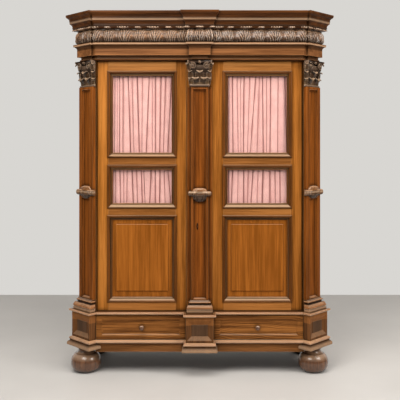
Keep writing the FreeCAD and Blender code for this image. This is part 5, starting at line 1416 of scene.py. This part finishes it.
def stage_plane(name, corners, material):
    """A flat stage surface from four corners."""
    mesh = bpy.data.meshes.new(name)
    mesh.from_pydata(corners, [], [(0, 1, 2, 3)])
    plane = bpy.data.objects.new(name, mesh)
    scene.collection.objects.link(plane)
    mesh.materials.append(material)


def floor_material():
    """Pale smooth floor, a little mottled."""
    net = Net("floor")
    mottle = net.noise(net.place(), 1.4, 6.0)
    colour = net.ramp(mottle, ((0.3, rgb(196, 194, 192)), (0.7, rgb(205, 203, 201))))
    return net.finish(net.skin(colour, 0.6))


def seen_directly(net):
    """1 for rays that show the background: camera, mirror and clear-glass rays."""
    rays = net.add("ShaderNodeLightPath").outputs
    seen = net.math("MAXIMUM", rays["Is Camera Ray"], rays["Is Glossy Ray"])
    return net.math("MAXIMUM", seen, rays["Is Transmission Ray"])


def wall_material():
    """Pale wall: plain light where it is looked at, paint for other light, clear from behind."""
    net = Net("wall")
    paint = net.add("ShaderNodeBsdfDiffuse", {"Color": rgb(214, 212, 208)}).outputs[0]
    glow = net.add("ShaderNodeEmission", {"Color": PALE, "Strength": 1.0}).outputs[0]
    front = net.add("ShaderNodeMixShader", {0: seen_directly(net), 1: paint, 2: glow}).outputs[0]
    clear = net.add("ShaderNodeBsdfTransparent").outputs[0]
    behind = net.add("ShaderNodeNewGeometry").outputs["Backfacing"]
    return net.finish(net.add("ShaderNodeMixShader", {0: behind, 1: front, 2: clear}).outputs[0])


front_edge = [(-ROOM, ROOM_FRONT, 0.0), (ROOM, ROOM_FRONT, 0.0)]
back_edge = [(ROOM, WALL_Y, 0.0), (-ROOM, WALL_Y, 0.0)]
top_edge = [(ROOM, WALL_Y, WALL_TOP), (-ROOM, WALL_Y, WALL_TOP)]
stage_plane("floor", front_edge + back_edge, floor_material())
stage_plane("wall", back_edge[::-1] + top_edge, wall_material())
print("floor and wall ready")

# %% [markdown]
# Each lamp has a place, a point that it faces, a width, a height and a power in watts. A little
# warmth in their colour brings out the red of the oak.

# %% Lamps
LAMP_COLOUR = (1.0, 0.955, 0.89)
LAMPS = {
    "left_lamp": ((-1.2, -2.4, 2.8), (-0.2, -0.1, 1.3), 1.8, 1.1, 49.0),
    "right_lamp": ((2.7, -1.9, 2.7), (0.3, -0.1, 1.2), 1.4, 1.2, 58.0),
    "back_lamp": ((0.0, 3.6, 3.8), (0.0, 0.2, 1.2), 2.0, 1.0, 10.0),
    "top_lamp": ((0.0, -1.7, 4.2), (0.0, -0.4, 0.5), 3.2, 1.6, 95.0),
}


def soft_light(name, place, aim, width, height, power):
    """A rectangular lamp that faces a point: yaw = atan2(dx, -dy), pitch = atan2(level, dz), for
    the direction d from the point to the lamp."""
    lamp = bpy.data.lights.new(name, "AREA")
    lamp.shape = "RECTANGLE"
    lamp.size = width
    lamp.size_y = height
    lamp.energy = power
    lamp.color = LAMP_COLOUR
    holder = bpy.data.objects.new(name, lamp)
    scene.collection.objects.link(holder)
    holder.location = place
    direction = np.array(place) - np.array(aim)
    yaw = np.arctan2(direction[0], -direction[1])
    pitch = np.arctan2(np.hypot(direction[0], direction[1]), direction[2])
    holder.rotation_euler = (pitch, 0.0, yaw)
    holder.visible_camera = False


for name, settings in LAMPS.items():
    soft_light(name, *settings)
print(len(LAMPS), "lamps lit")

# %% [markdown]
# The rest of the room is a soft light from all round, stronger from above. The camera, and rays
# that pass straight through clear glass, see the wall's pale colour there instead.

# %% Light of the room


def sky():
    """Room light: 0.05 below the horizon, rising smoothly to 0.5 overhead, and pale to look at."""
    world = bpy.data.worlds.new("room")
    net = Net("room", world)
    place = net.add("ShaderNodeTexCoord").outputs["Generated"]
    rise = net.add("ShaderNodeSeparateXYZ", {0: place}).outputs[2]
    level = net.add(
        "ShaderNodeMapRange", {0: rise, 1: -0.1, 2: 0.9, 3: 0.05, 4: 0.5},
        interpolation_type="SMOOTHSTEP").outputs[0]
    light = net.add("ShaderNodeBackground", {0: (1.0, 0.985, 0.96, 1.0), 1: level}).outputs[0]
    backdrop = net.add("ShaderNodeBackground", {0: PALE, 1: 1.0}).outputs[0]
    rays = net.add("ShaderNodeLightPath").outputs
    seen = net.math("MAXIMUM", rays["Is Camera Ray"], rays["Is Transmission Ray"])
    both = net.add("ShaderNodeMixShader", {0: seen, 1: light, 2: backdrop}).outputs[0]
    net.finish(both, "ShaderNodeOutputWorld")
    return world


scene.world = sky()
scene.view_settings.view_transform = "Standard"
print("light of the room ready")
